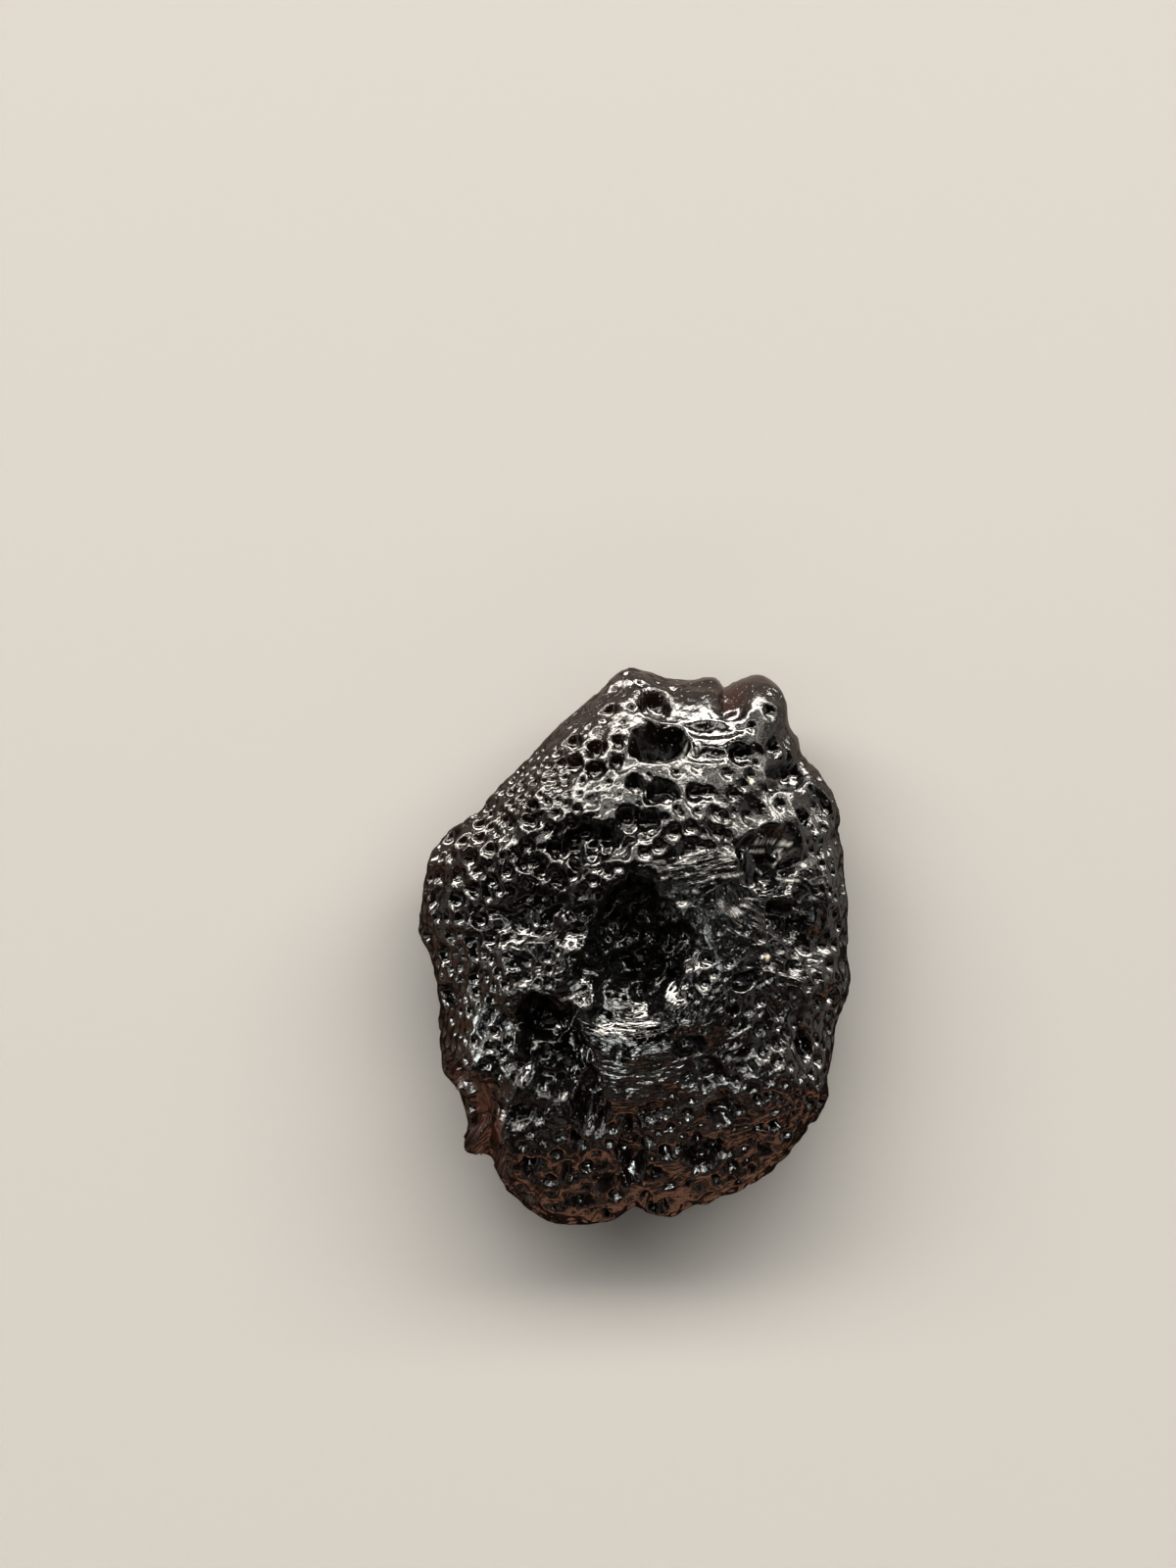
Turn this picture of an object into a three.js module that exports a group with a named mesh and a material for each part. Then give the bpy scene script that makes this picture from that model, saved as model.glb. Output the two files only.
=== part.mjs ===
// Tektite: a small stone of natural black glass, pitted all over, lying on its back.
// One solid in millimetres. +Z is up, +Y runs along the stone towards its blunt top end,
// and the stone rests on a small flat spot at z = 0 with its pitted face upwards.
import * as THREE from 'three';
import { mergeVertices } from 'three/addons/utils/BufferGeometryUtils.js';

// ---- Form ----
const CROWN_HEIGHT = 4.9; // widest level up to the top of the pitted face
const BELLY_DEPTH = 4.0; // widest level down to the rounded back, before the flat spot
const REST_DEPTH = 3.9; // widest level down to the flat spot
const EDGE_POWER = 2.25; // how square the rounding is between the rim and the faces, 2 is an ellipse
const FACET_BLEND = 14; // how tightly a facet meets the dome, higher is sharper
const LATTICE_DETAIL = 21; // subdivisions of each side of the icosahedron
const FACE_CROWDING = 0.42; // share by which the lattice crowds towards the pitted face
const WELD_GAP = 0.002; // joins lattice corners that share a place on the unit sphere

// Widest outline seen from above, anticlockwise from the right flank, x and y from the middle.
const OUTLINE = [
  [6.4, 0.0], [6.4, 1.2], [6.3, 2.1], [6.3, 2.9], [6.1, 3.4], [6.1, 4.15], [5.6, 5.25], [5.0, 5.8],
  [4.9, 6.3], [4.6, 6.75], [4.5, 7.4], [4.25, 7.9], [3.75, 8.2], [2.95, 7.95], [2.7, 7.8], [2.4, 8.1],
  [1.7, 8.0], [0.95, 8.1], [0.35, 8.3], [-0.25, 8.4], [-0.75, 8.1], [-1.1, 7.65], [-2.05, 6.85],
  [-3.3, 5.55], [-4.4, 4.4], [-4.8, 4.0], [-5.75, 3.4], [-6.2, 2.55], [-6.35, 1.8], [-6.45, 0.8],
  [-6.4, 0.25], [-6.15, -0.15], [-5.95, -1.35], [-5.75, -2.7], [-5.5, -3.2], [-5.45, -3.8],
  [-4.9, -5.1], [-5.1, -6.0], [-4.7, -6.25], [-4.2, -6.6], [-4.05, -6.9], [-2.95, -7.9], [-2.4, -8.2],
  [-0.8, -8.3], [-0.4, -8.1], [-0.05, -7.8], [0.4, -8.0], [1.05, -8.05], [1.7, -7.75], [2.25, -7.75],
  [3.65, -6.95], [4.75, -5.95], [5.05, -5.4], [5.7, -4.45], [5.7, -3.8], [6.0, -2.3], [6.45, -1.0],
];

// Flattish areas of the pitted face: the way each one looks, its slope and its distance from the middle.
const FACETS = [
  { azimuth: 105, slope: 31, reach: 6.02 }, // shoulder under the blunt end
  { azimuth: 275, slope: 26, reach: 5.15 }, // long fall towards the lower end
  { azimuth: 180, slope: 30, reach: 5.05 }, // left cheek
  { azimuth: 10, slope: 27, reach: 5.0 }, // right cheek
  { azimuth: 60, slope: 33, reach: 6.1 }, // corner at the upper right
];

// Sharp faces of the chip on the left edge, and the oval seen from above that they stay inside.
const SHARDS = [
  { azimuth: 192, slope: 56, reach: 5.62 },
  { azimuth: 214, slope: 62, reach: 6.5 },
  { azimuth: 238, slope: 48, reach: 6.5 },
];
const CHIP = { x: -4.62, y: -4.8, long: 1.95, short: 0.8, turn: -70 };
const CHIP_EDGE = 0.93; // share of the oval from which the chip fades out

// Soft swellings of the pitted face: x, y, radius, height.
const SWELLS = [
  [-4.9, -3.2, 0.8, 0.55],
  [-3.3, -5.3, 1.0, 0.45],
  [5.7, 1.9, 0.8, 0.2],
  [4.2, -4.2, 1.4, 0.3],
  [4.0, 7.1, 0.8, 0.35],
  [-1.5, -0.8, 0.8, 0.2],
  [-2.6, -6.9, 1.2, 0.3],
  [1.5, -1.6, 0.9, 0.2],
  [-2.9, 1.2, 1.1, -0.2],
  [4.3, 1.9, 1.2, -0.15],
];

// Hollows of the pitted face seen from above: x, y, long radius, short radius, turn in degrees, depth
// and how much deeper the far side is than the middle.
const HOLLOWS = [
  [0.64, 6.12, 0.94, 0.64, 0, 0.75, 0.5], // cave under the blunt end
  [0.55, 7.3, 0.5, 0.42, 0, 0.36, 0], // rounded hollow above the cave
  [2.98, 7.4, 0.62, 0.5, 80, 0.5, 0], // dent in the rim
  [2.3, 6.52, 1.0, 0.3, 0, 0.14, 0], // trough behind the rim
  [2.1, 5.75, 0.8, 0.26, 0, 0.12, 0],
  [3.06, 5.76, 0.35, 0.35, 0, 0.26, 0],
  [4.12, 5.94, 0.3, 0.3, 0, 0.22, 0],
  [4.5, 5.2, 0.62, 0.48, -15, 0.42, 0.3],
  [0.75, 4.65, 0.5, 0.42, 0, 0.34, 0.3],
  [-1.5, 5.8, 0.6, 0.45, -35, 0.22, 0],
  [-1.35, 3.3, 1.2, 0.75, 5, 0.62, 0.3],
  [0.2, 3.8, 0.62, 0.38, -20, 0.3, 0],
  [-3.15, 2.55, 0.55, 0.42, 0, 0.26, 0],
  [-4.85, 2.5, 0.9, 0.35, 0, 0.16, 0],
  [-3.05, 1.05, 1.08, 0.92, -10, 0.46, 0], // left hollow
  [-0.05, 1.72, 0.66, 0.46, 5, 0.5, 0], // middle hollows, run together
  [-0.5, 1.0, 0.8, 0.5, 62, 0.4, 0],
  [1.0, 0.35, 0.88, 0.7, 20, 0.46, 0],
  [0.1, -0.35, 1.05, 0.7, -12, 0.42, 0],
  [3.95, 2.65, 1.05, 0.98, 0, 0.72, 0], // upper right hollow
  [4.55, 0.9, 0.84, 0.76, -20, 0.56, 0], // right hollow
  [5.2, 0.15, 0.7, 0.36, -40, 0.25, 0],
  [-4.7, -0.1, 0.35, 0.35, 0, 0.2, 0],
  [3.1, -1.05, 0.45, 0.42, 0, 0.32, 0],
  [5.8, -1.4, 0.42, 0.26, 90, 0.22, 0],
  [1.6, -2.7, 0.56, 0.5, 0, 0.42, 0],
  [2.3, -3.6, 0.42, 0.32, 20, 0.3, 0],
  [2.5, -4.65, 0.58, 0.48, -30, 0.5, 0],
  [0.7, -4.65, 0.5, 0.35, 0, 0.25, 0],
  [4.9, -2.85, 0.56, 0.44, 90, 0.45, 0],
  [-2.8, -2.1, 0.95, 0.9, 80, 0.75, 0], // head of the lower cleft
  [-2.45, -3.2, 1.35, 1.15, -62, 0.95, 0], // lower cleft
  [-1.4, -4.55, 1.1, 0.6, 96, 0.75, 0],
  [-3.1, -2.95, 0.8, 0.6, -80, 0.4, 0],
  [-3.46, -4.67, 0.46, 0.3, -20, 0.26, 0],
  [-5.5, -1.45, 0.4, 0.32, 80, 0.24, 0],
  [-0.1, -6.2, 1.2, 0.5, 90, 0.62, 0], // lowest hollow
  [1.95, -6.05, 0.6, 0.5, 80, 0.5, 0],
  [0.65, -7.65, 0.46, 0.32, 0, 0.34, 0],
  [0.1, -5.3, 0.5, 0.3, 20, 0.28, 0], // small hollows of the lower end
  [1.3, -5.72, 0.42, 0.27, 25, 0.25, 0],
  [3.1, -3.05, 0.42, 0.26, 35, 0.22, 0],
  [-2.0, -6.3, 0.5, 0.32, -20, 0.3, 0],
  [-3.0, -6.1, 0.42, 0.28, -40, 0.25, 0],
];
const BASIN = [-0.2, -0.35, 2.25, 2.9, 0, 1.7, 0]; // wide bowl that the middle hollows lie in
const BASIN_FLATNESS = 0.6; // below 1 its sides are nearly straight
const HOLLOW_FLATNESS = 1.2; // how flat the hollows' bottoms are, 1 is round
const HOLLOW_JOINING = 3; // hollows that meet join softly, higher is sharper
const HOLLOWS_START = -0.05; // rise of a direction over the widest level where these hollows begin
const HOLLOWS_FULL = 0.2; // rise from which they're carved in full

// Round dents over the back, spread evenly along a spiral and varied in size.
const DENT_COUNT = 150;
const DENT_RADIUS = 0.78;
const DENT_SPREAD = 0.24; // largest change in radius
const DENT_DEEPNESS = 0.42; // depth as a share of the radius
const DENT_POWER = 1.35; // above 1 the rim of a dent is rounded
const DENT_RHYTHM = 7.3; // step of the wave that varies the radius from dent to dent
const DENTS_TOP = 0.05; // rise of a direction below which dents are placed
const RIM_RISE = -0.3; // from here up the dents are shallow, to leave the outline as it is
const RIM_DEEPNESS = 0.45; // share of the depth that they keep there
const SPOT_CLEARANCE = -0.86; // rise of a direction under which the flat spot stays free of dents

const CARVE_LEAN = 1.3; // how far the way of carving leans out sideways

const GOLDEN_TURN = Math.PI * (3 - Math.sqrt(5));
const FULL_TURN = Math.PI * 2;
const DEGREE = Math.PI / 180;

const MATERIAL = new THREE.MeshStandardMaterial({ color: 0x14120f, roughness: 0.28, metalness: 0.0 });

// Outline as distance from the middle over azimuth, with the slope at each point for a smooth curve.
function outlineCurve(points) {
  const knots = points.map(([x, y]) => ({ turn: Math.atan2(y, x), reach: Math.hypot(x, y) }));
  knots.sort((a, b) => a.turn - b.turn);
  const last = knots.length - 1;
  const before = { turn: knots[last].turn - FULL_TURN, reach: knots[last].reach };
  const after = { turn: knots[0].turn + FULL_TURN, reach: knots[0].reach };
  const afterNext = { turn: knots[1].turn + FULL_TURN, reach: knots[1].reach };
  const ring = [before, ...knots, after, afterNext];
  const slopes = ring.map((knot, i) => {
    const ahead = ring[Math.min(i + 1, ring.length - 1)];
    const behind = ring[Math.max(i - 1, 0)];
    return (ahead.reach - behind.reach) / (ahead.turn - behind.turn);
  });
  slopes[0] = slopes[last + 1];
  return (azimuth) => {
    let i = 0;
    while (i < last + 1 && ring[i + 1].turn < azimuth) i += 1;
    const span = ring[i + 1].turn - ring[i].turn;
    const t = (azimuth - ring[i].turn) / span;
    const rise = t * t * (3 - 2 * t);
    const leave = t * (1 - t) * (1 - t) * slopes[i];
    const arrive = t * t * (1 - t) * slopes[i + 1];
    return ring[i].reach + rise * (ring[i + 1].reach - ring[i].reach) + span * (leave - arrive);
  };
}

const reachAt = outlineCurve(OUTLINE);

// A plane as a vector whose product with a direction is one over the distance to the plane.
function planeVector({ azimuth, slope, reach }) {
  const flat = Math.sin(slope * DEGREE);
  const normal = new THREE.Vector3(
    flat * Math.cos(azimuth * DEGREE),
    flat * Math.sin(azimuth * DEGREE),
    Math.cos(slope * DEGREE),
  );
  return normal.divideScalar(reach);
}

const facetPlanes = FACETS.map(planeVector);
const shardPlanes = SHARDS.map(planeVector);

// Distances along and across a line through (x, y) seen from above, as shares of its two half sizes.
function ovalShares(point, x, y, long, short, turn) {
  const cos = Math.cos(turn * DEGREE);
  const sin = Math.sin(turn * DEGREE);
  const along = (point.x - x) * cos + (point.y - y) * sin;
  const across = (point.y - y) * cos - (point.x - x) * sin;
  return { along: along / long, across: across / short };
}

// One over the distance from the middle to the dome and its facets.
function unbroken(direction) {
  const { x, y, z } = direction;
  const flat = Math.hypot(x, y) / reachAt(Math.atan2(y, x));
  const height = z > 0 ? z / CROWN_HEIGHT : -z / BELLY_DEPTH;
  const dome = Math.pow(flat ** EDGE_POWER + height ** EDGE_POWER, 1 / EDGE_POWER);
  const cuts = facetPlanes.map((plane) => Math.max(0, plane.dot(direction)) ** FACET_BLEND);
  return cuts.reduce((sum, cut) => sum + cut, dome ** FACET_BLEND) ** (1 / FACET_BLEND);
}

// One over the distance from the middle to the chip's faces, or 0 away from the chip.
function broken(direction, closeness) {
  if (direction.z <= 0) return 0;
  const { x, y, long, short, turn } = CHIP;
  const { along, across } = ovalShares(direction.clone().divideScalar(closeness), x, y, long, short, turn);
  const inside = 1 - THREE.MathUtils.smoothstep(Math.hypot(along, across), CHIP_EDGE, 1);
  return inside * Math.max(...shardPlanes.map((plane) => plane.dot(direction)));
}

// Smooth body before hollows: the distance from the middle along a direction, and whether it's chipped.
function bodyReach(direction) {
  const closeness = unbroken(direction);
  const chip = broken(direction, closeness);
  const floorReach = direction.z < 0 ? REST_DEPTH / -direction.z : Infinity;
  return { reach: Math.min(1 / Math.max(closeness, chip), floorReach), chipped: chip > closeness };
}

// Outward way in which the surface is carved: close to the body's own normal.
function carveWay(direction) {
  const lean = CARVE_LEAN - Math.abs(direction.z);
  return new THREE.Vector3(direction.x * lean, direction.y * lean, direction.z).normalize();
}

// Depth of one hollow at a point.
function depthIn([x, y, long, short, turn, depth, lean], flatness, point) {
  const { along, across } = ovalShares(point, x, y, long, short, turn);
  const sunk = THREE.MathUtils.smoothstep(1 - Math.hypot(along, across) ** (2 * flatness), 0, 1);
  return depth * sunk * (1 + lean * THREE.MathUtils.clamp(across, -1, 1));
}

function hollowDepth(point, rise) {
  const weight = THREE.MathUtils.smoothstep(rise, HOLLOWS_START, HOLLOWS_FULL);
  const depths = HOLLOWS.map((hollow) => depthIn(hollow, HOLLOW_FLATNESS, point));
  const sum = depths.reduce((total, depth) => total + depth ** HOLLOW_JOINING, 0);
  return weight * (depthIn(BASIN, BASIN_FLATNESS, point) + sum ** (1 / HOLLOW_JOINING));
}

function swellHeight(point, rise) {
  const weight = THREE.MathUtils.smoothstep(rise, HOLLOWS_START, HOLLOWS_FULL);
  const heights = SWELLS.map(([x, y, radius, height]) => {
    const gap = Math.hypot(point.x - x, point.y - y) / radius;
    return height * Math.exp(-gap * gap);
  });
  return weight * heights.reduce((sum, height) => sum + height, 0);
}

// Dents of the back and the flanks: middle on the body's surface, radius and depth.
const dents = Array.from({ length: DENT_COUNT }, (_, i) => {
  const rise = 1 - (2 * i + 1) / DENT_COUNT;
  const flat = Math.sqrt(1 - rise * rise);
  const way = new THREE.Vector3(flat * Math.cos(i * GOLDEN_TURN), flat * Math.sin(i * GOLDEN_TURN), rise);
  const radius = DENT_RADIUS + DENT_SPREAD * Math.sin(i * DENT_RHYTHM);
  const depth = radius * DENT_DEEPNESS * (rise > RIM_RISE ? RIM_DEEPNESS : 1);
  return { rise, radius, depth, middle: way.clone().multiplyScalar(bodyReach(way).reach) };
}).filter(({ rise }) => rise < DENTS_TOP && rise > SPOT_CLEARANCE);

function dentDepth(point) {
  const depths = dents.map(({ middle, radius, depth }) => {
    const share = Math.min(1, point.distanceTo(middle) / radius);
    return depth * (1 - share * share) ** DENT_POWER;
  });
  return Math.max(...depths);
}

function surfacePoint(corner) {
  const direction = corner.clone();
  direction.z += FACE_CROWDING;
  direction.normalize();
  const { reach, chipped } = bodyReach(direction);
  const point = direction.clone().multiplyScalar(reach);
  if (!chipped) {
    const offset = swellHeight(point, direction.z) - hollowDepth(point, direction.z) - dentDepth(point);
    point.addScaledVector(carveWay(direction), offset);
  }
  point.z = Math.max(point.z, -REST_DEPTH);
  return point;
}

function stoneGeometry() {
  const lattice = new THREE.IcosahedronGeometry(1, LATTICE_DETAIL);
  lattice.deleteAttribute('normal');
  lattice.deleteAttribute('uv');
  const geometry = mergeVertices(lattice, WELD_GAP);
  const corners = geometry.getAttribute('position');
  const corner = new THREE.Vector3();
  for (let i = 0; i < corners.count; i += 1) {
    const point = surfacePoint(corner.fromBufferAttribute(corners, i));
    corners.setXYZ(i, point.x, point.y, point.z + REST_DEPTH);
  }
  geometry.computeBoundingBox();
  const middle = geometry.boundingBox.getCenter(new THREE.Vector3());
  geometry.translate(-middle.x, -middle.y, 0);
  geometry.computeVertexNormals();
  return geometry;
}

const stone = new THREE.Mesh(stoneGeometry(), MATERIAL);
stone.name = 'tektite';

const tektite = new THREE.Group();
tektite.add(stone);

export default tektite;
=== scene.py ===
"""Visual model of a tektite: a small stone of black natural glass, pitted all over.

The stone is one closed surface. A lattice of directions is laid on a smooth body, the large hollows of
the pitted face are carved into it, then fields of small pits, then the flow lines. Shapes are worked out
in millimetres about the middle of the stone's widest level and turned into metres for the mesh.
"""
import logging
import math
from dataclasses import dataclass, field
from enum import Enum

import bpy
import numpy as np
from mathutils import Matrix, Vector
from numpy.typing import NDArray


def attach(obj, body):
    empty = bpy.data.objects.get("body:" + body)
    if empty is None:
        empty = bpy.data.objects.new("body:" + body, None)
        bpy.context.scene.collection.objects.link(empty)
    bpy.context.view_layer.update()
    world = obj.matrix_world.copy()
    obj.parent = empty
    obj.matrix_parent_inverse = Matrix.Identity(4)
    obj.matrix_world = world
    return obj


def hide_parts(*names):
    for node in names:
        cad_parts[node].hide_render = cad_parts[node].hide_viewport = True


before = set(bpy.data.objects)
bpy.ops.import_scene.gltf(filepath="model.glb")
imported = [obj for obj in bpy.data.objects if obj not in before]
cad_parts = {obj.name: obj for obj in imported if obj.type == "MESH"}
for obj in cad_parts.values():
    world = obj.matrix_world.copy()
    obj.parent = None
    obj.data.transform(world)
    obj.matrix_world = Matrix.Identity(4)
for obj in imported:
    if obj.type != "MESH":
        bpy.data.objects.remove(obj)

LOG = logging.getLogger("tektite")

Array = NDArray[np.float64]
Indices = NDArray[np.int64]
Socket = bpy.types.NodeSocket

# A linear colour, a place, and the two ends of a range.
Colour = tuple[float, float, float]
Place = tuple[float, float, float]
Span = tuple[float, float]

MILLIMETRE = 0.001
TINY = 1e-9


class Mask(Enum):
    """Values held per point of the mesh for the material."""

    # Brown of the broken glass, plus painted warm reflection towards the lower rim and on the shoulder and
    # painted shade in the notch.
    TINT = "tint"
    POLISH = "polish"
    SPECK = "speck"
    HOLLOW = "hollow"
    SATIN = "satin"
    SCRATCH = "scratch"
    FIBRE = "fibre"
    FLOW = "flow"


class PitKind(Enum):
    """How the pits of a zone lie: the gap between two middles over the sum of the radii, and the depth
    over the radius."""

    HONEYCOMB = (0.88, 0.7)
    CROWDED = (1.0, 0.58)
    STEEP = (1.2, 0.9)
    SCATTERED = (1.5, 0.58)
    SPARSE = (2.6, 0.6)
    BARE = (5.0, 0.3)

    @property
    def closeness(self) -> float:
        """Least gap between the middles of two pits over the sum of their radii."""
        return self.value[0]

    @property
    def deepness(self) -> float:
        """Depth of a pit over its radius."""
        return self.value[1]


def smoothstep(value: Array, low: float, high: float) -> Array:
    """Rises smoothly from 0 at low to 1 at high."""
    t = np.clip((value - low) / (high - low), 0.0, 1.0)
    return t * t * (3.0 - 2.0 * t)


@dataclass(frozen=True)
class Unevenness:
    """Smooth random unevenness: its size, mean wavelength in millimetres, seed, number of waves, and the
    shares of the mean that their lengths lie between."""

    size: float
    wavelength: float
    seed: int
    waves: int = 20
    length_range: Span = (0.75, 1.3)

    def at(self, points: Array, step: int = 0) -> Array:
        """Unevenness at each place.

        It is the sum of plane sine waves of nearly equal length, each with a random direction and phase,
        divided by the square root of half their number, so it stays close to the size.

        Args:
            points: places in millimetres, one row each.
            step: added to the seed, for several unlike fields of one kind.

        Returns:
            One value per place.
        """
        rng = np.random.default_rng(self.seed + step)
        ways = rng.normal(size=(self.waves, 3))
        ways /= np.linalg.norm(ways, axis=1, keepdims=True)
        ways *= 2.0 * math.pi / (self.wavelength * rng.uniform(*self.length_range, (self.waves, 1)))
        phases = rng.uniform(0.0, 2.0 * math.pi, self.waves)
        return self.size * (np.sin(points @ ways.T + phases).sum(axis=1) / math.sqrt(self.waves / 2.0))


def turned(points: Array, x: float, y: float, degrees: float) -> tuple[Array, Array]:
    """Distances along and across a line through (x, y), seen from above.

    Args:
        points: places in millimetres.
        x: place of the line's middle.
        y: place of the line's middle.
        degrees: turn of the line, anticlockwise from +X.

    Returns:
        The distances along the line and across it.
    """
    cos, sin = math.cos(math.radians(degrees)), math.sin(math.radians(degrees))
    right, up = points[:, 0] - x, points[:, 1] - y
    return right * cos + up * sin, up * cos - right * sin


@dataclass
class Skin:
    """A closed surface being shaped: points in millimetres and faces with four corners."""

    points: Array
    quads: Indices

    def gather(self, per_face: Array) -> Array:
        """Sum of a value of each face over the faces that meet at each point."""
        count = len(self.points)
        return sum(np.bincount(corner, weights=per_face, minlength=count) for corner in self.quads.T)

    def spread(self, per_point: Array, passes: int) -> Array:
        """Averages a value of each point with its neighbours.

        Args:
            per_point: one value, or one row of values, per point.
            passes: how many times the averaging is done.

        Returns:
            The averaged values.
        """
        meeting = self.gather(np.ones(len(self.quads)))
        columns = per_point.reshape(len(self.points), -1).T.copy()
        for _ in range(passes):
            columns = np.array([self.gather(c[self.quads].mean(axis=1)) / meeting for c in columns])
        return columns.T.reshape(per_point.shape)

    def normals(self, softening: int = 0) -> Array:
        """Outward normals at the points.

        A face's normal is the cross product of its diagonals, so large faces count for more.

        Args:
            softening: passes of averaging over the neighbours.

        Returns:
            One unit vector per point.
        """
        a, b, c, d = (self.points[corner] for corner in self.quads.T)
        crossed = np.cross(c - a, d - b)
        summed = np.stack([self.gather(column) for column in crossed.T], axis=1)
        if softening:
            summed = self.spread(summed / np.linalg.norm(summed, axis=1, keepdims=True), softening)
        return summed / np.linalg.norm(summed, axis=1, keepdims=True)

    def push(self, distance: Array, softening: int = 0) -> None:
        """Moves every point outwards along its normal by a distance in millimetres."""
        self.points = self.points + self.normals(softening) * distance[:, None]


@dataclass(frozen=True)
class Lattice:
    """Directions whose places on a body are evenly spaced, but wider under it, with no seams."""

    cells: int = 128
    under_share: float = 0.2
    under_levels: Span = (-0.35, -0.05)
    rings: int = 361
    rays: int = 72

    def cube_ways(self) -> tuple[Array, Indices]:
        """Makes directions spread evenly over a sphere and the faces between them.

        A point of a cube's side has two parameters u and v between -1 and 1. Its place on the cube is
        tan(pi/4 u), tan(pi/4 v) and 1, which is scaled to length 1. Points on the edges of two sides are
        the same integer point, so they are one.

        Returns:
            Unit directions and faces with four corners, anticlockwise from outside.
        """
        n = self.cells
        steps = np.arange(n + 1)
        across, up = np.meshgrid(steps, steps, indexing="ij")
        sides, faces = [], []
        start = np.arange(n)[:, None] * (n + 1) + np.arange(n)[None, :]
        quad = np.stack([start, start + n + 1, start + n + 2, start + 1], axis=-1).reshape(-1, 4)
        for axis in range(3):
            for level in (0, n):
                grid = np.empty((n + 1, n + 1, 3), dtype=np.int64)
                grid[..., axis] = level
                grid[..., (axis + 1) % 3] = across
                grid[..., (axis + 2) % 3] = up
                faces.append((quad if level else quad[:, ::-1]) + len(sides) * (n + 1) ** 2)
                sides.append(grid.reshape(-1, 3))
        corners = np.concatenate(sides)
        keys = (corners[:, 0] * (n + 1) + corners[:, 1]) * (n + 1) + corners[:, 2]
        _, first, place = np.unique(keys, return_index=True, return_inverse=True)
        cube = np.tan(math.pi / 4.0 * (2.0 * corners[first] / n - 1.0))
        return cube / np.linalg.norm(cube, axis=1, keepdims=True), place.reshape(-1)[np.concatenate(faces)]

    def shares_above(self, body: "Body") -> tuple[Array, Array]:
        """Share of the points that belongs above each height of direction.

        It is the body's area above that height, with the area under the widest level counted less.

        Args:
            body: the body that the directions are for.

        Returns:
            The shares, rising from 0 to 1, and the heights of the unit directions, falling from 1 to -1.
        """
        climb = np.linspace(math.pi / 2.0, -math.pi / 2.0, self.rings)
        turn = np.linspace(0.0, 2.0 * math.pi, self.rays, endpoint=False)
        flat = np.cos(climb)
        level = np.outer(np.sin(climb), np.ones(self.rays))
        ways = np.stack([np.outer(flat, np.cos(turn)), np.outer(flat, np.sin(turn)), level], axis=-1)
        rings = body.surface(ways.reshape(-1, 3)).reshape(ways.shape)
        slant = np.linalg.norm(np.diff(rings, axis=0), axis=2)
        middle = (rings[1:] + rings[:-1]) / 2.0
        area = (slant * np.hypot(middle[..., 0], middle[..., 1])).mean(axis=1)
        seen = smoothstep((level[1:, 0] + level[:-1, 0]) / 2.0, *self.under_levels)
        area *= self.under_share + (1.0 - self.under_share) * seen
        return np.concatenate([[0.0], np.cumsum(area)]) / area.sum(), level[:, 0]

    def build(self, body: "Body") -> tuple[Array, Indices]:
        """Makes the directions and the faces between them.

        Args:
            body: the body that the directions are for.

        Returns:
            Unit directions and faces with four corners, anticlockwise from outside.
        """
        ways, quads = self.cube_ways()
        level = np.interp((1.0 - ways[:, 2]) / 2.0, *self.shares_above(body))
        flat = np.sqrt(np.maximum(0.0, 1.0 - level**2)) / np.maximum(TINY, np.hypot(*ways.T[:2]))
        return np.stack([ways[:, 0] * flat, ways[:, 1] * flat, level], axis=1), quads


@dataclass(frozen=True)
class Outline:
    """Widest outline seen from above, anticlockwise from the right flank, in millimetres."""

    points: tuple[tuple[float, float], ...] = (
        (6.4, 0.0), (6.4, 1.2), (6.3, 2.1), (6.3, 2.9), (6.1, 3.4), (6.1, 4.15), (5.6, 5.25), (5.0, 5.8),
        (4.9, 6.3), (4.6, 6.75), (4.5, 7.4), (4.25, 7.9), (3.75, 8.2), (2.95, 7.95), (2.7, 7.8), (2.4, 8.1),
        (1.7, 8.0), (0.95, 8.1), (0.35, 8.3), (-0.25, 8.4), (-0.75, 8.1), (-1.1, 7.65), (-2.05, 6.85),
        (-3.3, 5.55), (-4.4, 4.4), (-4.8, 4.0), (-5.75, 3.4), (-6.2, 2.55), (-6.35, 1.8), (-6.45, 0.8),
        (-6.4, 0.25), (-6.15, -0.15), (-5.95, -1.35), (-5.75, -2.7), (-5.5, -3.2), (-5.45, -3.8),
        (-4.9, -5.1), (-5.1, -6.0), (-4.7, -6.25), (-4.2, -6.6), (-4.05, -6.9), (-2.95, -7.9), (-2.4, -8.2),
        (-0.8, -8.3), (-0.4, -8.1), (-0.05, -7.8), (0.4, -8.0), (1.05, -8.05), (1.7, -7.75), (2.25, -7.75),
        (3.65, -6.95), (4.75, -5.95), (5.05, -5.4), (5.7, -4.45), (5.7, -3.8), (6.0, -2.3), (6.45, -1.0),
    )

    def reach(self, azimuth: Array) -> Array:
        """Distance from the middle to the outline.

        It is a cubic curve over the azimuth through the points, whose slope at a point is that of the
        line between its two neighbours.

        Args:
            azimuth: angles in radians between -pi and pi.

        Returns:
            Distances in millimetres.
        """
        x, y = np.array(self.points).T
        turn, reach = np.arctan2(y, x), np.hypot(x, y)
        order = np.argsort(turn)
        full = 2.0 * math.pi
        turn = np.concatenate([turn[order] - full, turn[order], turn[order] + full])
        reach = np.tile(reach[order], 3)
        slope = (np.roll(reach, -1) - np.roll(reach, 1)) / (np.roll(turn, -1) - np.roll(turn, 1))
        i = np.clip(np.searchsorted(turn, azimuth) - 1, 0, len(turn) - 2)
        span = turn[i + 1] - turn[i]
        t = (azimuth - turn[i]) / span
        rise = t * t * (3.0 - 2.0 * t)
        bend = t * (1.0 - t) ** 2 * slope[i] - t * t * (1.0 - t) * slope[i + 1]
        return reach[i] + rise * (reach[i + 1] - reach[i]) + span * bend


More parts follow.
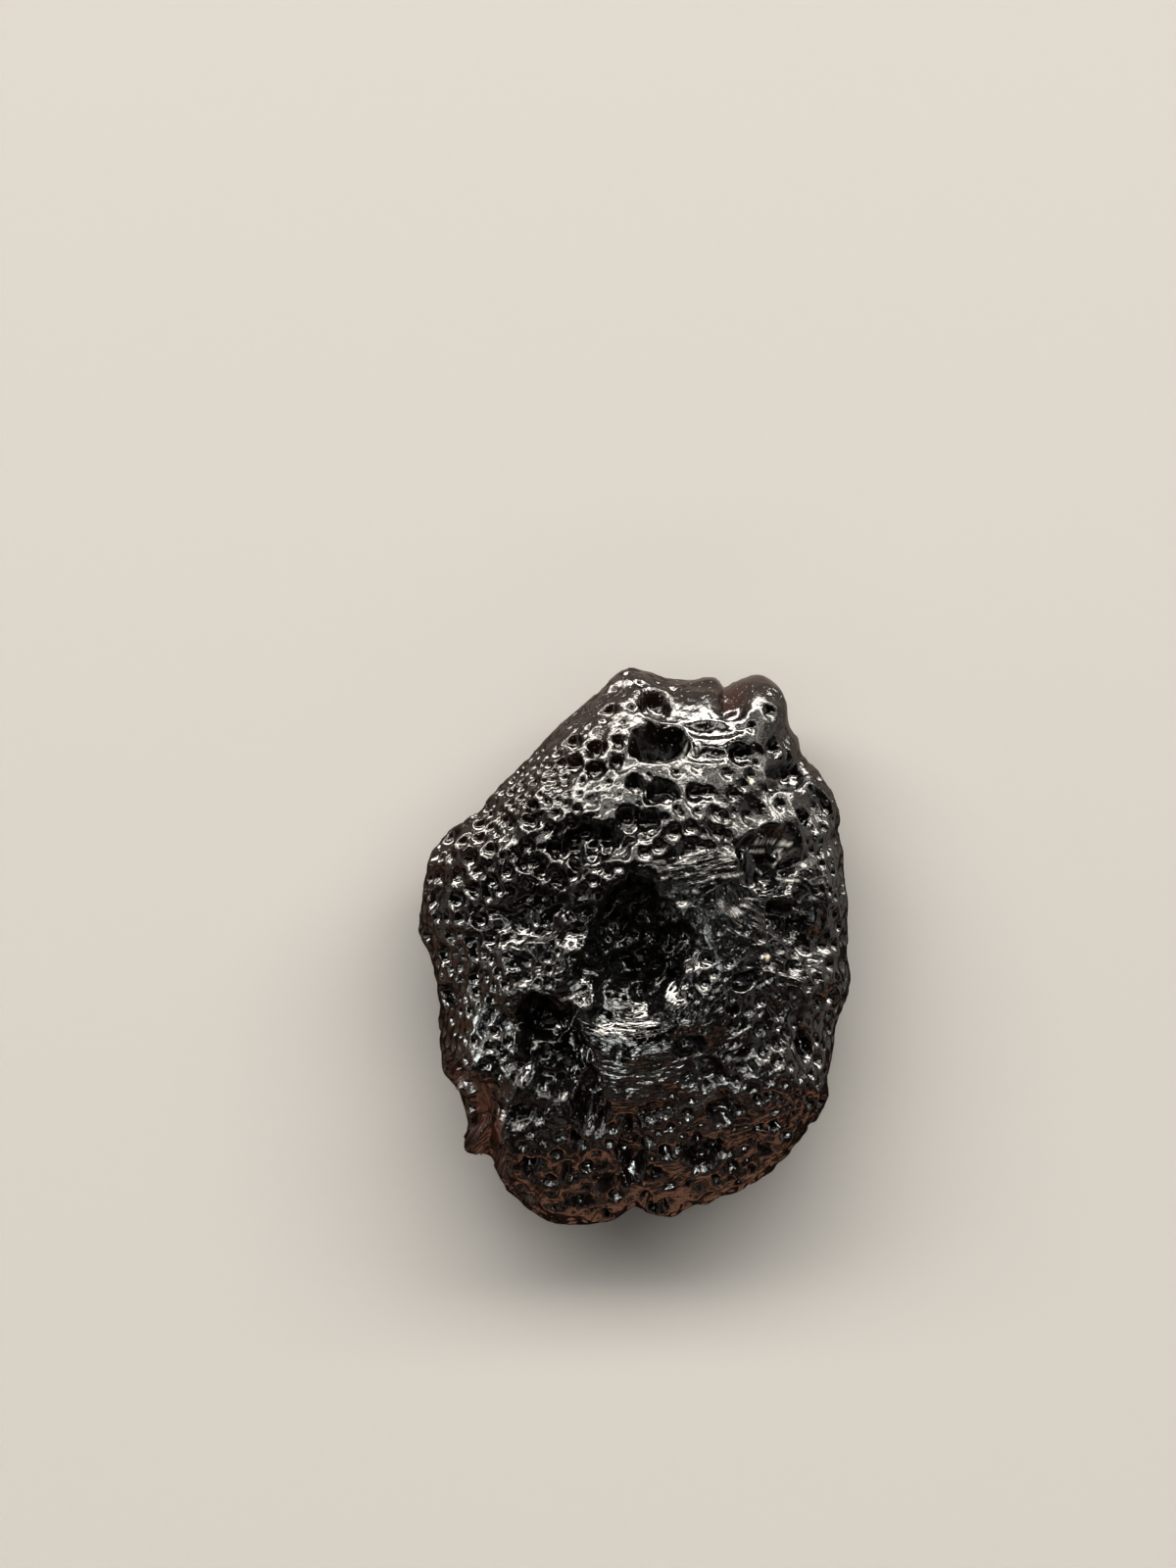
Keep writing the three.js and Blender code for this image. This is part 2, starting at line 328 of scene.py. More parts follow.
@dataclass(frozen=True)
class Facet:
    """A flattish area of the pitted face: the way it looks, its slope and its distance from the middle."""

    azimuth: float
    slope: float
    reach: float

    def closeness(self, ways: Array) -> Array:
        """One over the distance from the middle to the facet along each direction.

        Args:
            ways: unit directions.

        Returns:
            One value per direction, 0 where the facet is missed.
        """
        azimuth, slope = math.radians(self.azimuth), math.radians(self.slope)
        flat = math.sin(slope)
        normal = np.array([flat * math.cos(azimuth), flat * math.sin(azimuth), math.cos(slope)])
        return np.maximum(0.0, ways @ normal / self.reach)


@dataclass(frozen=True)
class Body:
    """The smooth body before anything is carved."""

    outline: Outline = Outline()
    crown_height: float = 4.9
    belly_depth: float = 4.0
    rest_depth: float = 3.9
    edge_power: float = 2.25
    facet_blend: float = 14.0
    facets: tuple[Facet, ...] = (
        Facet(105, 31, 6.02),
        Facet(275, 26, 5.15),
        Facet(180, 30, 5.05),
        Facet(10, 27, 5.0),
        Facet(60, 33, 6.1),
    )
    shards: tuple[Facet, ...] = (
        Facet(192, 56, 5.62),
        Facet(214, 62, 6.5),
        Facet(238, 48, 6.5),
    )
    chip_place: tuple[float, float] = (-4.62, -4.8)
    chip_size: tuple[float, float] = (1.95, 0.8)
    chip_turn: float = -70.0
    chip_fade: float = 0.93
    chip_edge: float = 0.003
    carve_lean: float = 1.3

    def surface(self, ways: Array) -> Array:
        """Places on the body along directions from the middle.

        The dome is a superellipse whose sizes are the outline's reach and the height of the crown or of
        the belly. The facets cut it with soft edges and the shards with sharp ones, and the flat spot
        cuts the belly off level.

        Args:
            ways: unit directions.

        Returns:
            Places in millimetres.
        """
        rise = ways[:, 2]
        reach = 1.0 / np.maximum(self.unbroken(ways), self.broken(ways))
        floor = np.where(rise < 0.0, self.rest_depth / np.maximum(-rise, TINY), np.inf)
        return ways * np.minimum(reach, floor)[:, None]

    def unbroken(self, ways: Array) -> Array:
        """One over the distance from the middle to the dome with its facets.

        Args:
            ways: unit directions.

        Returns:
            One value per direction.
        """
        rise = ways[:, 2]
        flat = np.hypot(ways[:, 0], ways[:, 1]) / self.outline.reach(np.arctan2(ways[:, 1], ways[:, 0]))
        height = np.where(rise > 0.0, rise / self.crown_height, -rise / self.belly_depth)
        dome = (flat**self.edge_power + height**self.edge_power) ** (1.0 / self.edge_power)
        cuts = sum(facet.closeness(ways) ** self.facet_blend for facet in self.facets)
        return (dome**self.facet_blend + cuts) ** (1.0 / self.facet_blend)

    def broken(self, ways: Array) -> Array:
        """One over the distance from the middle to the nearest shard.

        Args:
            ways: unit directions.

        Returns:
            One value per direction, 0 away from the chip.
        """
        along, across = turned(ways / self.unbroken(ways)[:, None], *self.chip_place, self.chip_turn)
        share = np.hypot(along / self.chip_size[0], across / self.chip_size[1])
        inside = smoothstep(-share, -1.0, -self.chip_fade) * (ways[:, 2] > 0.0)
        return inside * np.max([shard.closeness(ways) for shard in self.shards], axis=0)

    def chip_share(self, ways: Array) -> Array:
        """1 on the broken shards and 0 on the rest."""
        ratio = self.broken(ways) / self.unbroken(ways)
        return smoothstep(ratio, 1.0 - self.chip_edge, 1.0 + self.chip_edge)

    def carve_way(self, ways: Array) -> Array:
        """Outward way of carving, close to the body's own normal.

        Args:
            ways: unit directions from the middle.

        Returns:
            One unit vector per direction.
        """
        lean = self.carve_lean - np.abs(ways[:, 2])
        leaning = np.stack([ways[:, 0] * lean, ways[:, 1] * lean, ways[:, 2]], axis=1)
        return leaning / np.linalg.norm(leaning, axis=1, keepdims=True)


@dataclass(frozen=True)
class Hollow:
    """One hollow of the pitted face seen from above: place, half sizes, turn in degrees and depth, how
    flat its bottom is (1 is round) and how much deeper its far side is than its middle."""

    x: float
    y: float
    long: float
    short: float
    turn: float
    depth: float
    flatness: float = 2.0
    lean: float = 0.0

    def depth_at(self, points: Array) -> Array:
        """Depth of the hollow.

        It is the hollow's own depth times the smooth step of 1 - s^(2 flatness), with s 1 on the rim, and
        times 1 + lean c, with c the distance across over the short half size.

        Args:
            points: places in millimetres.

        Returns:
            One depth per place.
        """
        along, across = turned(points, self.x, self.y, self.turn)
        share = (along / self.long) ** 2 + (across / self.short) ** 2
        slant = 1.0 + self.lean * np.clip(across / self.short, -1.0, 1.0)
        return self.depth * slant * smoothstep(1.0 - share**self.flatness, 0.0, 1.0)


@dataclass(frozen=True)
class Pit:
    """One round pit of the face: place seen from above, radius and depth over radius."""

    x: float
    y: float
    radius: float
    deepness: float = 0.55


@dataclass(frozen=True)
class Swell:
    """A soft swelling of the pitted face: place, radius and height."""

    x: float
    y: float
    radius: float
    height: float

    def height_at(self, points: Array) -> Array:
        """Height of the swelling, falling off as a bell curve."""
        gap = np.hypot(points[:, 0] - self.x, points[:, 1] - self.y) / self.radius
        return self.height * np.exp(-gap * gap)


@dataclass(frozen=True)
class Scratch:
    """A thin straight frosted scratch seen from above: its two ends."""

    x: float
    y: float
    end_x: float
    end_y: float
    half_width: float = 0.023

    def share_at(self, points: Array) -> Array:
        """1 along the scratch, falling off across it in a bell curve that ends round.

        Args:
            points: places in millimetres.

        Returns:
            One share per place, 0 under the stone.
        """
        way = np.array([self.end_x - self.x, self.end_y - self.y])
        gaps = points[:, :2] - (self.x, self.y)
        along = np.clip(gaps @ way / (way @ way), 0.0, 1.0)
        gap = np.linalg.norm(gaps - along[:, None] * way, axis=1) / self.half_width
        return np.exp(-gap * gap) * (points[:, 2] > 0.0)


@dataclass(frozen=True)
class Spot:
    """An oval spot seen from above: its middle, half sizes and how flat its share is in the middle."""

    x: float
    y: float
    long: float
    short: float
    flatness: float = 2.0

    def share_at(self, points: Array) -> Array:
        """1 in the spot, falling off round its edge as exp(-s^(2 flatness)), with s 1 on the edge."""
        gap = ((points[:, 0] - self.x) / self.long) ** 2 + ((points[:, 1] - self.y) / self.short) ** 2
        return np.exp(-(gap**self.flatness))


@dataclass(frozen=True)
class PitZone:
    """Part of the face where small pits are alike: place, reach, kind and usual radius."""

    x: float
    y: float
    reach: float
    kind: PitKind
    radius: float

    def pull(self, points: Array) -> Array:
        """How much the zone counts at each place."""
        gap = np.hypot(points[:, 0] - self.x, points[:, 1] - self.y) / self.reach
        return np.exp(-2.0 * gap * gap) * (points[:, 2] > 0.0)


@dataclass(frozen=True)
class FlowZone:
    """Part of the face with flow lines: place, half sizes, turn, the lines' centre, spacing and height."""

    x: float
    y: float
    long: float
    short: float
    turn: float
    pivot_x: float
    pivot_y: float
    spacing: float
    height: float
    under_levels: Span = (-1.0, 0.5)

    def weight(self, points: Array) -> Array:
        """How much the zone counts at each place.

        Args:
            points: places in millimetres.

        Returns:
            1 inside the zone, falling off round its edge, and 0 under the stone.
        """
        along, across = turned(points, self.x, self.y, self.turn)
        gap = (along / self.long) ** 2 + (across / self.short) ** 2
        return np.exp(-gap * gap) * smoothstep(points[:, 2], *self.under_levels)

    def across(self, points: Array) -> Array:
        """Distance from the lines' centre, the same all along a line, in millimetres."""
        return np.hypot(points[:, 0] - self.pivot_x, points[:, 1] - self.pivot_y)

    def along(self, points: Array) -> Array:
        """Distance along a line.

        Args:
            points: places in millimetres.

        Returns:
            Distances in millimetres, 0 at the zone's middle.
        """
        angle = np.arctan2(points[:, 1] - self.pivot_y, points[:, 0] - self.pivot_x)
        middle = math.atan2(self.y - self.pivot_y, self.x - self.pivot_x)
        swing = np.angle(np.exp(1j * (angle - middle)))
        return swing * math.hypot(self.x - self.pivot_x, self.y - self.pivot_y)


# The wide bowl that the middle hollows lie in.
BASINS = (Hollow(-0.2, -0.35, 2.25, 2.9, 0, 1.7, 0.6),)

# Large hollows: x, y, half sizes, turn, depth, flatness, lean.
HOLLOWS = tuple(Hollow(*row) for row in (
    (0.64, 6.12, 0.94, 0.64, 0, 0.85, 1.8, 0.5), (2.98, 7.4, 0.62, 0.5, 80, 0.5, 1.0),
    (0.55, 7.3, 0.5, 0.42, 0, 0.5, 1.8, 0.4), (2.3, 6.52, 1.0, 0.3, 0, 0.14, 1.0),
    (2.1, 5.75, 0.8, 0.26, 0, 0.12, 1.0), (4.5, 5.2, 0.66, 0.5, -15, 0.55, 1.5, 0.4),
    (0.75, 4.65, 0.52, 0.42, 0, 0.42, 1.5, 0.3), (0.0, 4.88, 0.36, 0.26, -15, 0.28),
    (-1.35, 3.3, 1.2, 0.75, 5, 0.62, 1.6, 0.3), (0.2, 3.8, 0.62, 0.38, -20, 0.3),
    (-3.15, 2.55, 0.55, 0.42, 0, 0.26), (-4.85, 2.5, 0.9, 0.35, 0, 0.16, 1.0),
    (-3.05, 1.05, 1.08, 0.92, -10, 0.46), (-0.05, 1.72, 0.66, 0.46, 5, 0.5),
    (-0.5, 1.0, 0.8, 0.5, 62, 0.4), (1.0, 0.35, 0.88, 0.7, 20, 0.46), (0.1, -0.35, 1.05, 0.7, -12, 0.42),
    (3.95, 2.65, 1.05, 0.98, 0, 0.72), (4.55, 0.9, 0.84, 0.76, -20, 0.56),
    (5.2, 0.15, 0.7, 0.36, -40, 0.25), (3.1, -1.05, 0.45, 0.42, 0, 0.32),
    (5.8, -1.4, 0.42, 0.26, 90, 0.22), (1.6, -2.7, 0.56, 0.5, 0, 0.42, 1.6),
    (2.3, -3.6, 0.42, 0.32, 20, 0.3), (2.5, -4.65, 0.58, 0.48, -30, 0.45),
    (4.9, -2.85, 0.56, 0.44, 90, 0.4), (-2.8, -2.1, 0.95, 0.9, 80, 0.75),
    (-2.45, -3.2, 1.35, 1.15, -62, 0.95), (-1.4, -4.55, 1.1, 0.6, 96, 0.75),
    (-3.1, -2.95, 0.8, 0.6, -80, 0.4, 1.5), (-3.46, -4.67, 0.46, 0.3, -20, 0.26),
    (-5.5, -1.45, 0.4, 0.32, 80, 0.24), (-0.1, -6.2, 1.2, 0.5, 90, 0.62),
    (1.95, -6.05, 0.6, 0.5, 80, 0.45), (0.65, -7.65, 0.46, 0.32, 0, 0.34),
    (-0.95, -7.9, 0.4, 0.28, 0, 0.28), (0.65, -6.5, 0.34, 0.28, 30, 0.34), (0.1, -5.3, 0.5, 0.3, 20, 0.32),
    (1.3, -5.72, 0.42, 0.27, 25, 0.34), (3.4, -4.35, 0.27, 0.22, 0, 0.28),
    (4.0, -4.1, 0.26, 0.22, 20, 0.28), (4.13, -5.18, 0.28, 0.22, 0, 0.28),
    (3.1, -3.05, 0.42, 0.26, 35, 0.28), (3.4, -5.85, 0.38, 0.25, 35, 0.3),
    (2.75, -6.6, 0.36, 0.23, 30, 0.28), (5.0, -4.2, 0.3, 0.22, 60, 0.26),
    (1.9, -7.1, 0.36, 0.23, 20, 0.26), (-2.0, -6.3, 0.5, 0.32, -20, 0.36),
    (-3.0, -6.1, 0.42, 0.28, -40, 0.32), (-1.7, -7.4, 0.42, 0.26, 0, 0.28),
    (-3.2, -7.1, 0.36, 0.24, 20, 0.26), (-0.95, -6.9, 0.32, 0.28, 0, 0.28),
    (2.9, -2.1, 0.24, 0.34, 0, 0.28),
))

# Pits set one by one: x, y, radius, deepness.
PITS = tuple(Pit(*row) for row in (
    (0.5, 7.2, 0.2, 0.6), (-0.76, 7.1, 0.29, 0.9), (-0.09, 7.12, 0.18), (-1.82, 6.12, 0.31, 0.95),
    (-1.2, 5.97, 0.34, 0.95), (-1.82, 5.47, 0.3, 0.95), (-1.18, 5.32, 0.33, 0.95),
    (-0.59, 5.56, 0.23, 0.95), (-0.56, 6.15, 0.23, 0.95), (-3.09, 4.29, 0.18), (-2.74, 4.44, 0.18),
    (-2.88, 3.85, 0.28, 0.6), (-3.79, 3.85, 0.24), (-4.21, 3.5, 0.18), (-4.97, 3.32, 0.21),
    (-5.56, 3.0, 0.24), (3.06, 5.76, 0.35, 1.0), (4.12, 5.94, 0.29, 1.0), (4.0, 7.06, 0.24),
    (3.06, 6.53, 0.15), (3.44, 6.59, 0.18), (3.53, 5.47, 0.15), (1.71, 4.65, 0.28, 0.9),
    (0.35, 5.12, 0.12), (1.29, 4.0, 0.15), (2.35, 3.47, 0.24), (2.18, 3.0, 0.18), (2.27, 4.06, 0.3, 0.4),
    (4.26, 4.24, 0.18), (4.91, 3.91, 0.3, 0.85), (5.71, 4.15, 0.21), (-4.35, 1.85, 0.21),
    (-4.94, 1.85, 0.18), (-5.74, 1.88, 0.2), (-5.97, 1.56, 0.18), (-2.44, 1.85, 0.27, 0.6),
    (-2.15, 1.29, 0.24), (-1.76, 2.76, 0.24), (-0.82, 2.82, 0.24), (-4.7, -0.12, 0.28, 0.62),
    (-4.7, -0.76, 0.25, 0.62), (-5.38, -0.56, 0.18), (-5.44, 0.18, 0.18), (-5.53, -1.29, 0.27),
    (-4.09, -2.85, 0.21, 0.75), (-3.74, -3.32, 0.12, 0.7), (-2.85, -4.88, 0.18, 0.6),
    (3.06, -1.0, 0.32, 0.62), (5.74, -1.35, 0.27), (4.18, -1.88, 0.24), (2.94, -1.97, 0.15),
    (1.82, -2.32, 0.18), (1.24, -1.35, 0.21), (1.47, -2.71, 0.33, 0.7), (2.27, -3.65, 0.24, 0.65),
    (2.56, -4.68, 0.36, 0.7), (0.5, -4.68, 0.3, 0.68), (1.0, -4.6, 0.24, 0.68), (3.44, -4.24, 0.24),
    (4.09, -5.12, 0.21), (4.91, -2.91, 0.36, 0.65), (1.91, -6.06, 0.4, 0.7), (0.8, -7.62, 0.3, 0.6),
    (0.2, 3.77, 0.24), (4.47, -3.94, 0.18), (3.88, -3.5, 0.15), (3.3, -5.41, 0.17), (4.76, -4.53, 0.18),
    (2.85, -5.85, 0.2), (1.24, -6.74, 0.2), (2.4, -6.7, 0.18),
))

# Tiny bubbles that stand up from the floor of the cave: x, y, radius, deepness.
BUBBLES = tuple(Pit(*row) for row in (
    (0.25, 5.8, 0.1), (0.5, 5.7, 0.11), (0.62, 5.92, 0.1), (0.86, 5.76, 0.11), (1.1, 5.92, 0.1),
    (0.05, 6.45, 0.16, 0.5),
))

# Soft swellings, and dips where the height is negative: x, y, radius, height.
SWELLS = tuple(Swell(*row) for row in (
    (-4.9, -3.2, 0.8, 0.55), (-3.3, -5.3, 1.0, 0.45), (5.7, 1.9, 0.8, 0.2), (4.2, -4.2, 1.4, 0.3),
    (4.0, 7.1, 0.8, 0.35), (-1.5, -0.8, 0.8, 0.2), (-2.6, -6.9, 1.2, 0.3), (1.5, -1.6, 0.9, 0.2),
    (-3.6, -0.55, 0.27, 0.22), (-2.9, 1.2, 1.1, -0.2), (4.3, 1.9, 1.2, -0.15),
))

# Frosted scratches: x and y of both ends.
SCRATCHES = tuple(Scratch(*row) for row in (
    (3.91, 3.2, 4.5, 3.12), (4.5, 3.12, 4.67, 2.87), (3.42, 3.19, 3.76, 3.14), (3.34, 2.91, 3.76, 2.91),
    (4.1, 2.91, 4.25, 2.9), (4.25, 2.9, 4.25, 2.68), (4.25, 2.68, 4.05, 2.46), (4.2, 2.1, 4.42, 2.06),
    (4.47, 2.06, 4.86, 2.04), (2.51, 2.16, 3.15, 2.26), (3.56, 2.38, 3.7, 2.26), (1.36, 6.18, 1.5, 5.93),
    (1.5, 5.93, 1.36, 5.65), (1.96, 6.04, 1.15, 5.36),
))

# Parts of the face where no pits are strewn: x, y, half sizes.
SMOOTH_PATCHES = (Spot(2.2, 6.25, 1.25, 0.85), Spot(-0.1, -2.5, 1.9, 1.0))

HONEYCOMB, CROWDED, STEEP, SCATTERED, SPARSE, BARE = PitKind

# Zones of small pits: x, y, reach, kind, radius.
PIT_ZONES = tuple(PitZone(*row) for row in (
    (-4.9, 2.6, 1.6, HONEYCOMB, 0.27), (-3.6, 2.4, 1.4, HONEYCOMB, 0.27),
    (-3.3, 3.6, 1.1, HONEYCOMB, 0.24), (-1.9, 3.3, 1.2, HONEYCOMB, 0.22),
    (-1.6, 2.0, 1.2, HONEYCOMB, 0.25), (-0.2, 3.4, 0.9, CROWDED, 0.2), (-5.4, 0.9, 1.2, HONEYCOMB, 0.26),
    (-5.0, -0.4, 1.1, HONEYCOMB, 0.23), (-4.7, -1.8, 1.0, CROWDED, 0.18), (-4.0, -3.0, 0.9, STEEP, 0.16),
    (-3.0, 1.0, 0.9, SCATTERED, 0.11), (-4.2, 4.4, 1.1, HONEYCOMB, 0.17),
    (-2.8, 5.0, 1.2, HONEYCOMB, 0.15), (-2.4, 6.4, 0.9, CROWDED, 0.13), (-1.2, 7.0, 1.0, SCATTERED, 0.12),
    (-0.9, 5.0, 1.2, SCATTERED, 0.13), (0.4, 5.2, 0.8, SCATTERED, 0.12), (0.9, 7.6, 0.9, SCATTERED, 0.13),
    (2.2, 6.6, 1.5, BARE, 0.14), (4.2, 7.0, 0.9, SPARSE, 0.12), (5.0, 5.0, 1.1, SCATTERED, 0.16),
    (3.2, 4.3, 1.1, CROWDED, 0.17), (1.6, 3.9, 1.1, CROWDED, 0.18), (1.6, 2.4, 0.9, SCATTERED, 0.12),
    (5.7, 3.0, 1.2, CROWDED, 0.17), (3.9, 2.7, 1.0, BARE, 0.1), (6.1, 1.2, 1.0, CROWDED, 0.17),
    (4.7, 0.7, 0.9, SCATTERED, 0.12), (2.9, 1.1, 0.9, SPARSE, 0.12), (-0.3, 1.2, 1.1, SCATTERED, 0.11),
    (1.2, 0.3, 0.9, SCATTERED, 0.12), (-1.7, -0.3, 1.0, CROWDED, 0.14), (0.2, -0.6, 0.8, SCATTERED, 0.13),
    (0.0, -2.2, 1.3, BARE, 0.14), (0.2, -3.1, 0.9, BARE, 0.1), (2.4, -1.2, 1.0, CROWDED, 0.16),
    (5.2, -1.4, 1.2, CROWDED, 0.17), (3.6, -2.6, 1.0, STEEP, 0.17), (-2.5, -2.6, 1.3, SPARSE, 0.13),
    (-2.0, -4.0, 1.2, SPARSE, 0.14), (-3.2, -5.2, 0.9, STEEP, 0.17), (1.9, -4.0, 1.1, STEEP, 0.2),
    (4.6, -3.9, 1.2, STEEP, 0.2), (3.4, -5.1, 1.2, STEEP, 0.2), (0.2, -4.8, 1.1, STEEP, 0.2),
    (1.4, -6.2, 1.1, STEEP, 0.2), (-1.2, -5.9, 1.1, STEEP, 0.18), (-0.4, -7.6, 1.1, STEEP, 0.2),
    (-2.8, -7.0, 1.2, STEEP, 0.2), (2.6, -7.2, 1.1, STEEP, 0.2),
))

# Zones of flow lines: x, y, half sizes, turn, x and y of the lines' centre, spacing, height.
FLOW_ZONES = tuple(FlowZone(*row) for row in (
    (-0.2, -2.2, 2.1, 1.6, 0, -0.15, -0.1, 0.2, 0.034), (-1.7, 5.5, 2.4, 1.1, 43, 12.1, -9.0, 0.22, 0.012),
    (1.8, 2.4, 1.4, 0.55, 10, -6.5, 41.5, 0.18, 0.045), (3.15, 1.2, 0.9, 0.9, 0, 4.2, 2.5, 0.3, 0.07),
    (4.75, -0.7, 1.1, 0.5, -20, 15.0, 27.5, 0.2, 0.04), (3.7, -5.4, 2.8, 1.7, 45, -0.5, 0.5, 0.2, 0.055),
    (-2.6, -6.9, 1.5, 1.0, -20, -4.2, -6.0, 0.22, 0.06), (1.0, -6.9, 2.2, 0.9, 8, 0.0, 0.5, 0.2, 0.05),
    (-1.0, -6.0, 1.2, 0.5, 90, -20.0, -5.0, 0.18, 0.05), (-2.6, -4.8, 1.0, 0.9, -50, 7.2, 2.1, 0.22, 0.06),
    (2.35, -3.1, 0.6, 0.4, 0, 2.3, -4.2, 0.16, 0.03), (1.5, -5.1, 0.9, 0.5, 20, 0.0, 3.0, 0.18, 0.05),
    (2.6, -2.4, 1.0, 0.8, 30, 0.6, 1.6, 0.2, 0.05), (5.8, 2.8, 0.6, 1.6, 0, 0.0, 2.0, 0.22, 0.03),
    (2.5, 4.05, 0.45, 0.4, 0, 2.55, 4.0, 0.14, 0.03), (-1.6, -0.7, 0.9, 0.8, 0, -4.0, 2.5, 0.2, 0.085),
    (4.0, 1.7, 0.9, 0.35, -5, 4.5, 12.0, 0.16, 0.045), (0.4, -3.9, 1.7, 0.8, 0, -0.15, -0.1, 0.2, 0.05),
    (-4.65, -4.8, 1.8, 0.7, -72, 8.0, 0.0, 0.3, 0.02),
))


@dataclass(frozen=True)
class Pits:
    """Round pits on the stone: middles, radii and depths over radii."""

    middles: Array
    radii: Array
    deepness: Array
    batch: int = 64

    @classmethod
    def on_face(cls, points: Array, pits: tuple[Pit, ...]) -> "Pits":
        """Sets pits given by their places seen from above on the upper face.

        Args:
            points: the surface's points.
            pits: the pits.

        Returns:
            The pits with their middles on the surface.
        """
        plan = np.array([(pit.x, pit.y) for pit in pits])
        upper = points[points[:, 2] > 0.0]
        gaps = ((upper[:, None, :2] - plan[None]) ** 2).sum(axis=2)
        middles = upper[gaps.argmin(axis=0)]
        radii, deepness = np.array([(pit.radius, pit.deepness) for pit in pits]).T
        return cls(middles, radii, deepness)

    def depth_at(self, points: Array) -> Array:
        """Depth of the deepest pit at each point.

        A pit is part of a ball: with s the distance over the radius and k = (1 + h^2) / 2h, where h is
        the deepness, the depth is the radius times sqrt(k^2 - s^2) - k + h.

        Args:
            points: places in millimetres.

        Returns:
            One depth per place, 0 outside the pits.
        """
        order = np.argsort(points[:, 1])
        sorted_points, rising = points[order], np.argsort(self.middles[:, 1])
        level = sorted_points[:, 1].copy()
        best = np.zeros(len(points))
        ball = (1.0 + self.deepness**2) / (2.0 * self.deepness)
        for start in range(0, len(rising), self.batch):
            some = rising[start : start + self.batch]
            reach = self.radii[some].max()
            middles = self.middles[some]
            first, last = np.searchsorted(level, [middles[0, 1] - reach, middles[-1, 1] + reach])
            near = sorted_points[first:last]
            gaps = (near**2).sum(axis=1)[:, None] - 2.0 * near @ middles.T + (middles**2).sum(axis=1)
            inside = np.maximum(0.0, ball[some] ** 2 - gaps / self.radii[some] ** 2)
            depth = self.radii[some] * (np.sqrt(inside) - ball[some] + self.deepness[some])
            best[first:last] = np.maximum(best[first:last], depth.max(axis=1))
        unsorted = np.empty(len(points))
        unsorted[order] = best
        return unsorted


@dataclass(frozen=True)
class PitField:
    """Round pits strewn over the whole stone; a zone, where there is one, has its own kind of them."""

    seed: int
    radius: float
    kind: PitKind
    zones: tuple[PitZone, ...] = ()
    spread: float = 0.22
    size_limits: Span = (0.5, 1.7)
    depth_range: Span = (0.75, 1.2)
    outside_pull: float = 0.12
    borders: Unevenness = Unevenness(0.25, 0.9, 0, 8)
    tries: int = 30000

    def values(self, points: Array) -> Array:
        """Usual pit radius, closeness and deepness at each place.

        Each place belongs to the zone that pulls it most, with ragged borders, or to none.

        Args:
            points: places in millimetres.

        Returns:
            Three rows of one value per place.
        """
        owners = (self, *self.zones)
        pulls = [np.full(len(points), self.outside_pull)]
        for i, zone in enumerate(self.zones):
            pulls.append(zone.pull(points) * (1.0 + self.borders.at(points, self.seed + i)))
        numbers = np.array([(o.radius, o.kind.closeness, o.kind.deepness) for o in owners])
        return numbers[np.argmax(pulls, axis=0)].T

    def place(self, skin: Skin, wanted: Array) -> Pits:
        """Throws pits on the surface and keeps those that are far enough from the ones before.

        Args:
            skin: the surface.
            wanted: chance of a pit at each point.

        Returns:
            The pits.
        """
        rng = np.random.default_rng(self.seed)
        tried = rng.choice(len(skin.points), min(self.tries, len(skin.points)), replace=False)
        here = skin.points[tried]
        radii, closeness, deepness = self.values(here)
        radii = radii * np.clip(rng.lognormal(0.0, self.spread, len(here)), *self.size_limits)
        waiting = rng.random(len(here)) < wanted[tried]
        held: list[int] = []
        while waiting.any():
            one = int(np.argmax(waiting))
            held.append(one)
            apart = closeness[one] * (radii + radii[one])
            waiting &= ((here - here[one]) ** 2).sum(axis=1) > apart**2
        chosen = np.array(held)
        varied = deepness[chosen] * rng.uniform(*self.depth_range, len(chosen))
        return Pits(here[chosen], radii[chosen], varied)


@dataclass(frozen=True)
class Dents:
    """Round dents over the back and the flanks, spread evenly along a spiral and varied in size."""

    count: int = 150
    radius: float = 0.78
    spread: float = 0.24
    deepness: float = 0.42
    rhythm: float = 7.3
    top: float = 0.05
    rim_rise: float = -0.3
    rim_deepness: float = 0.45
    clearance: float = -0.86

    def pits(self, body: Body) -> Pits:
        """Places the dents on a body.

        Args:
            body: the body.

        Returns:
            The dents as pits.
        """
        i = np.arange(self.count)
        rise = 1.0 - (2.0 * i + 1.0) / self.count
        turn = i * math.pi * (3.0 - math.sqrt(5.0))
        flat = np.sqrt(1.0 - rise * rise)
        ways = np.stack([flat * np.cos(turn), flat * np.sin(turn), rise], axis=1)
        radii = self.radius + self.spread * np.sin(i * self.rhythm)
        deepness = self.deepness * np.where(rise > self.rim_rise, self.rim_deepness, 1.0)
        held = (rise < self.top) & (rise > self.clearance)
        return Pits(body.surface(ways)[held], radii[held], deepness[held])


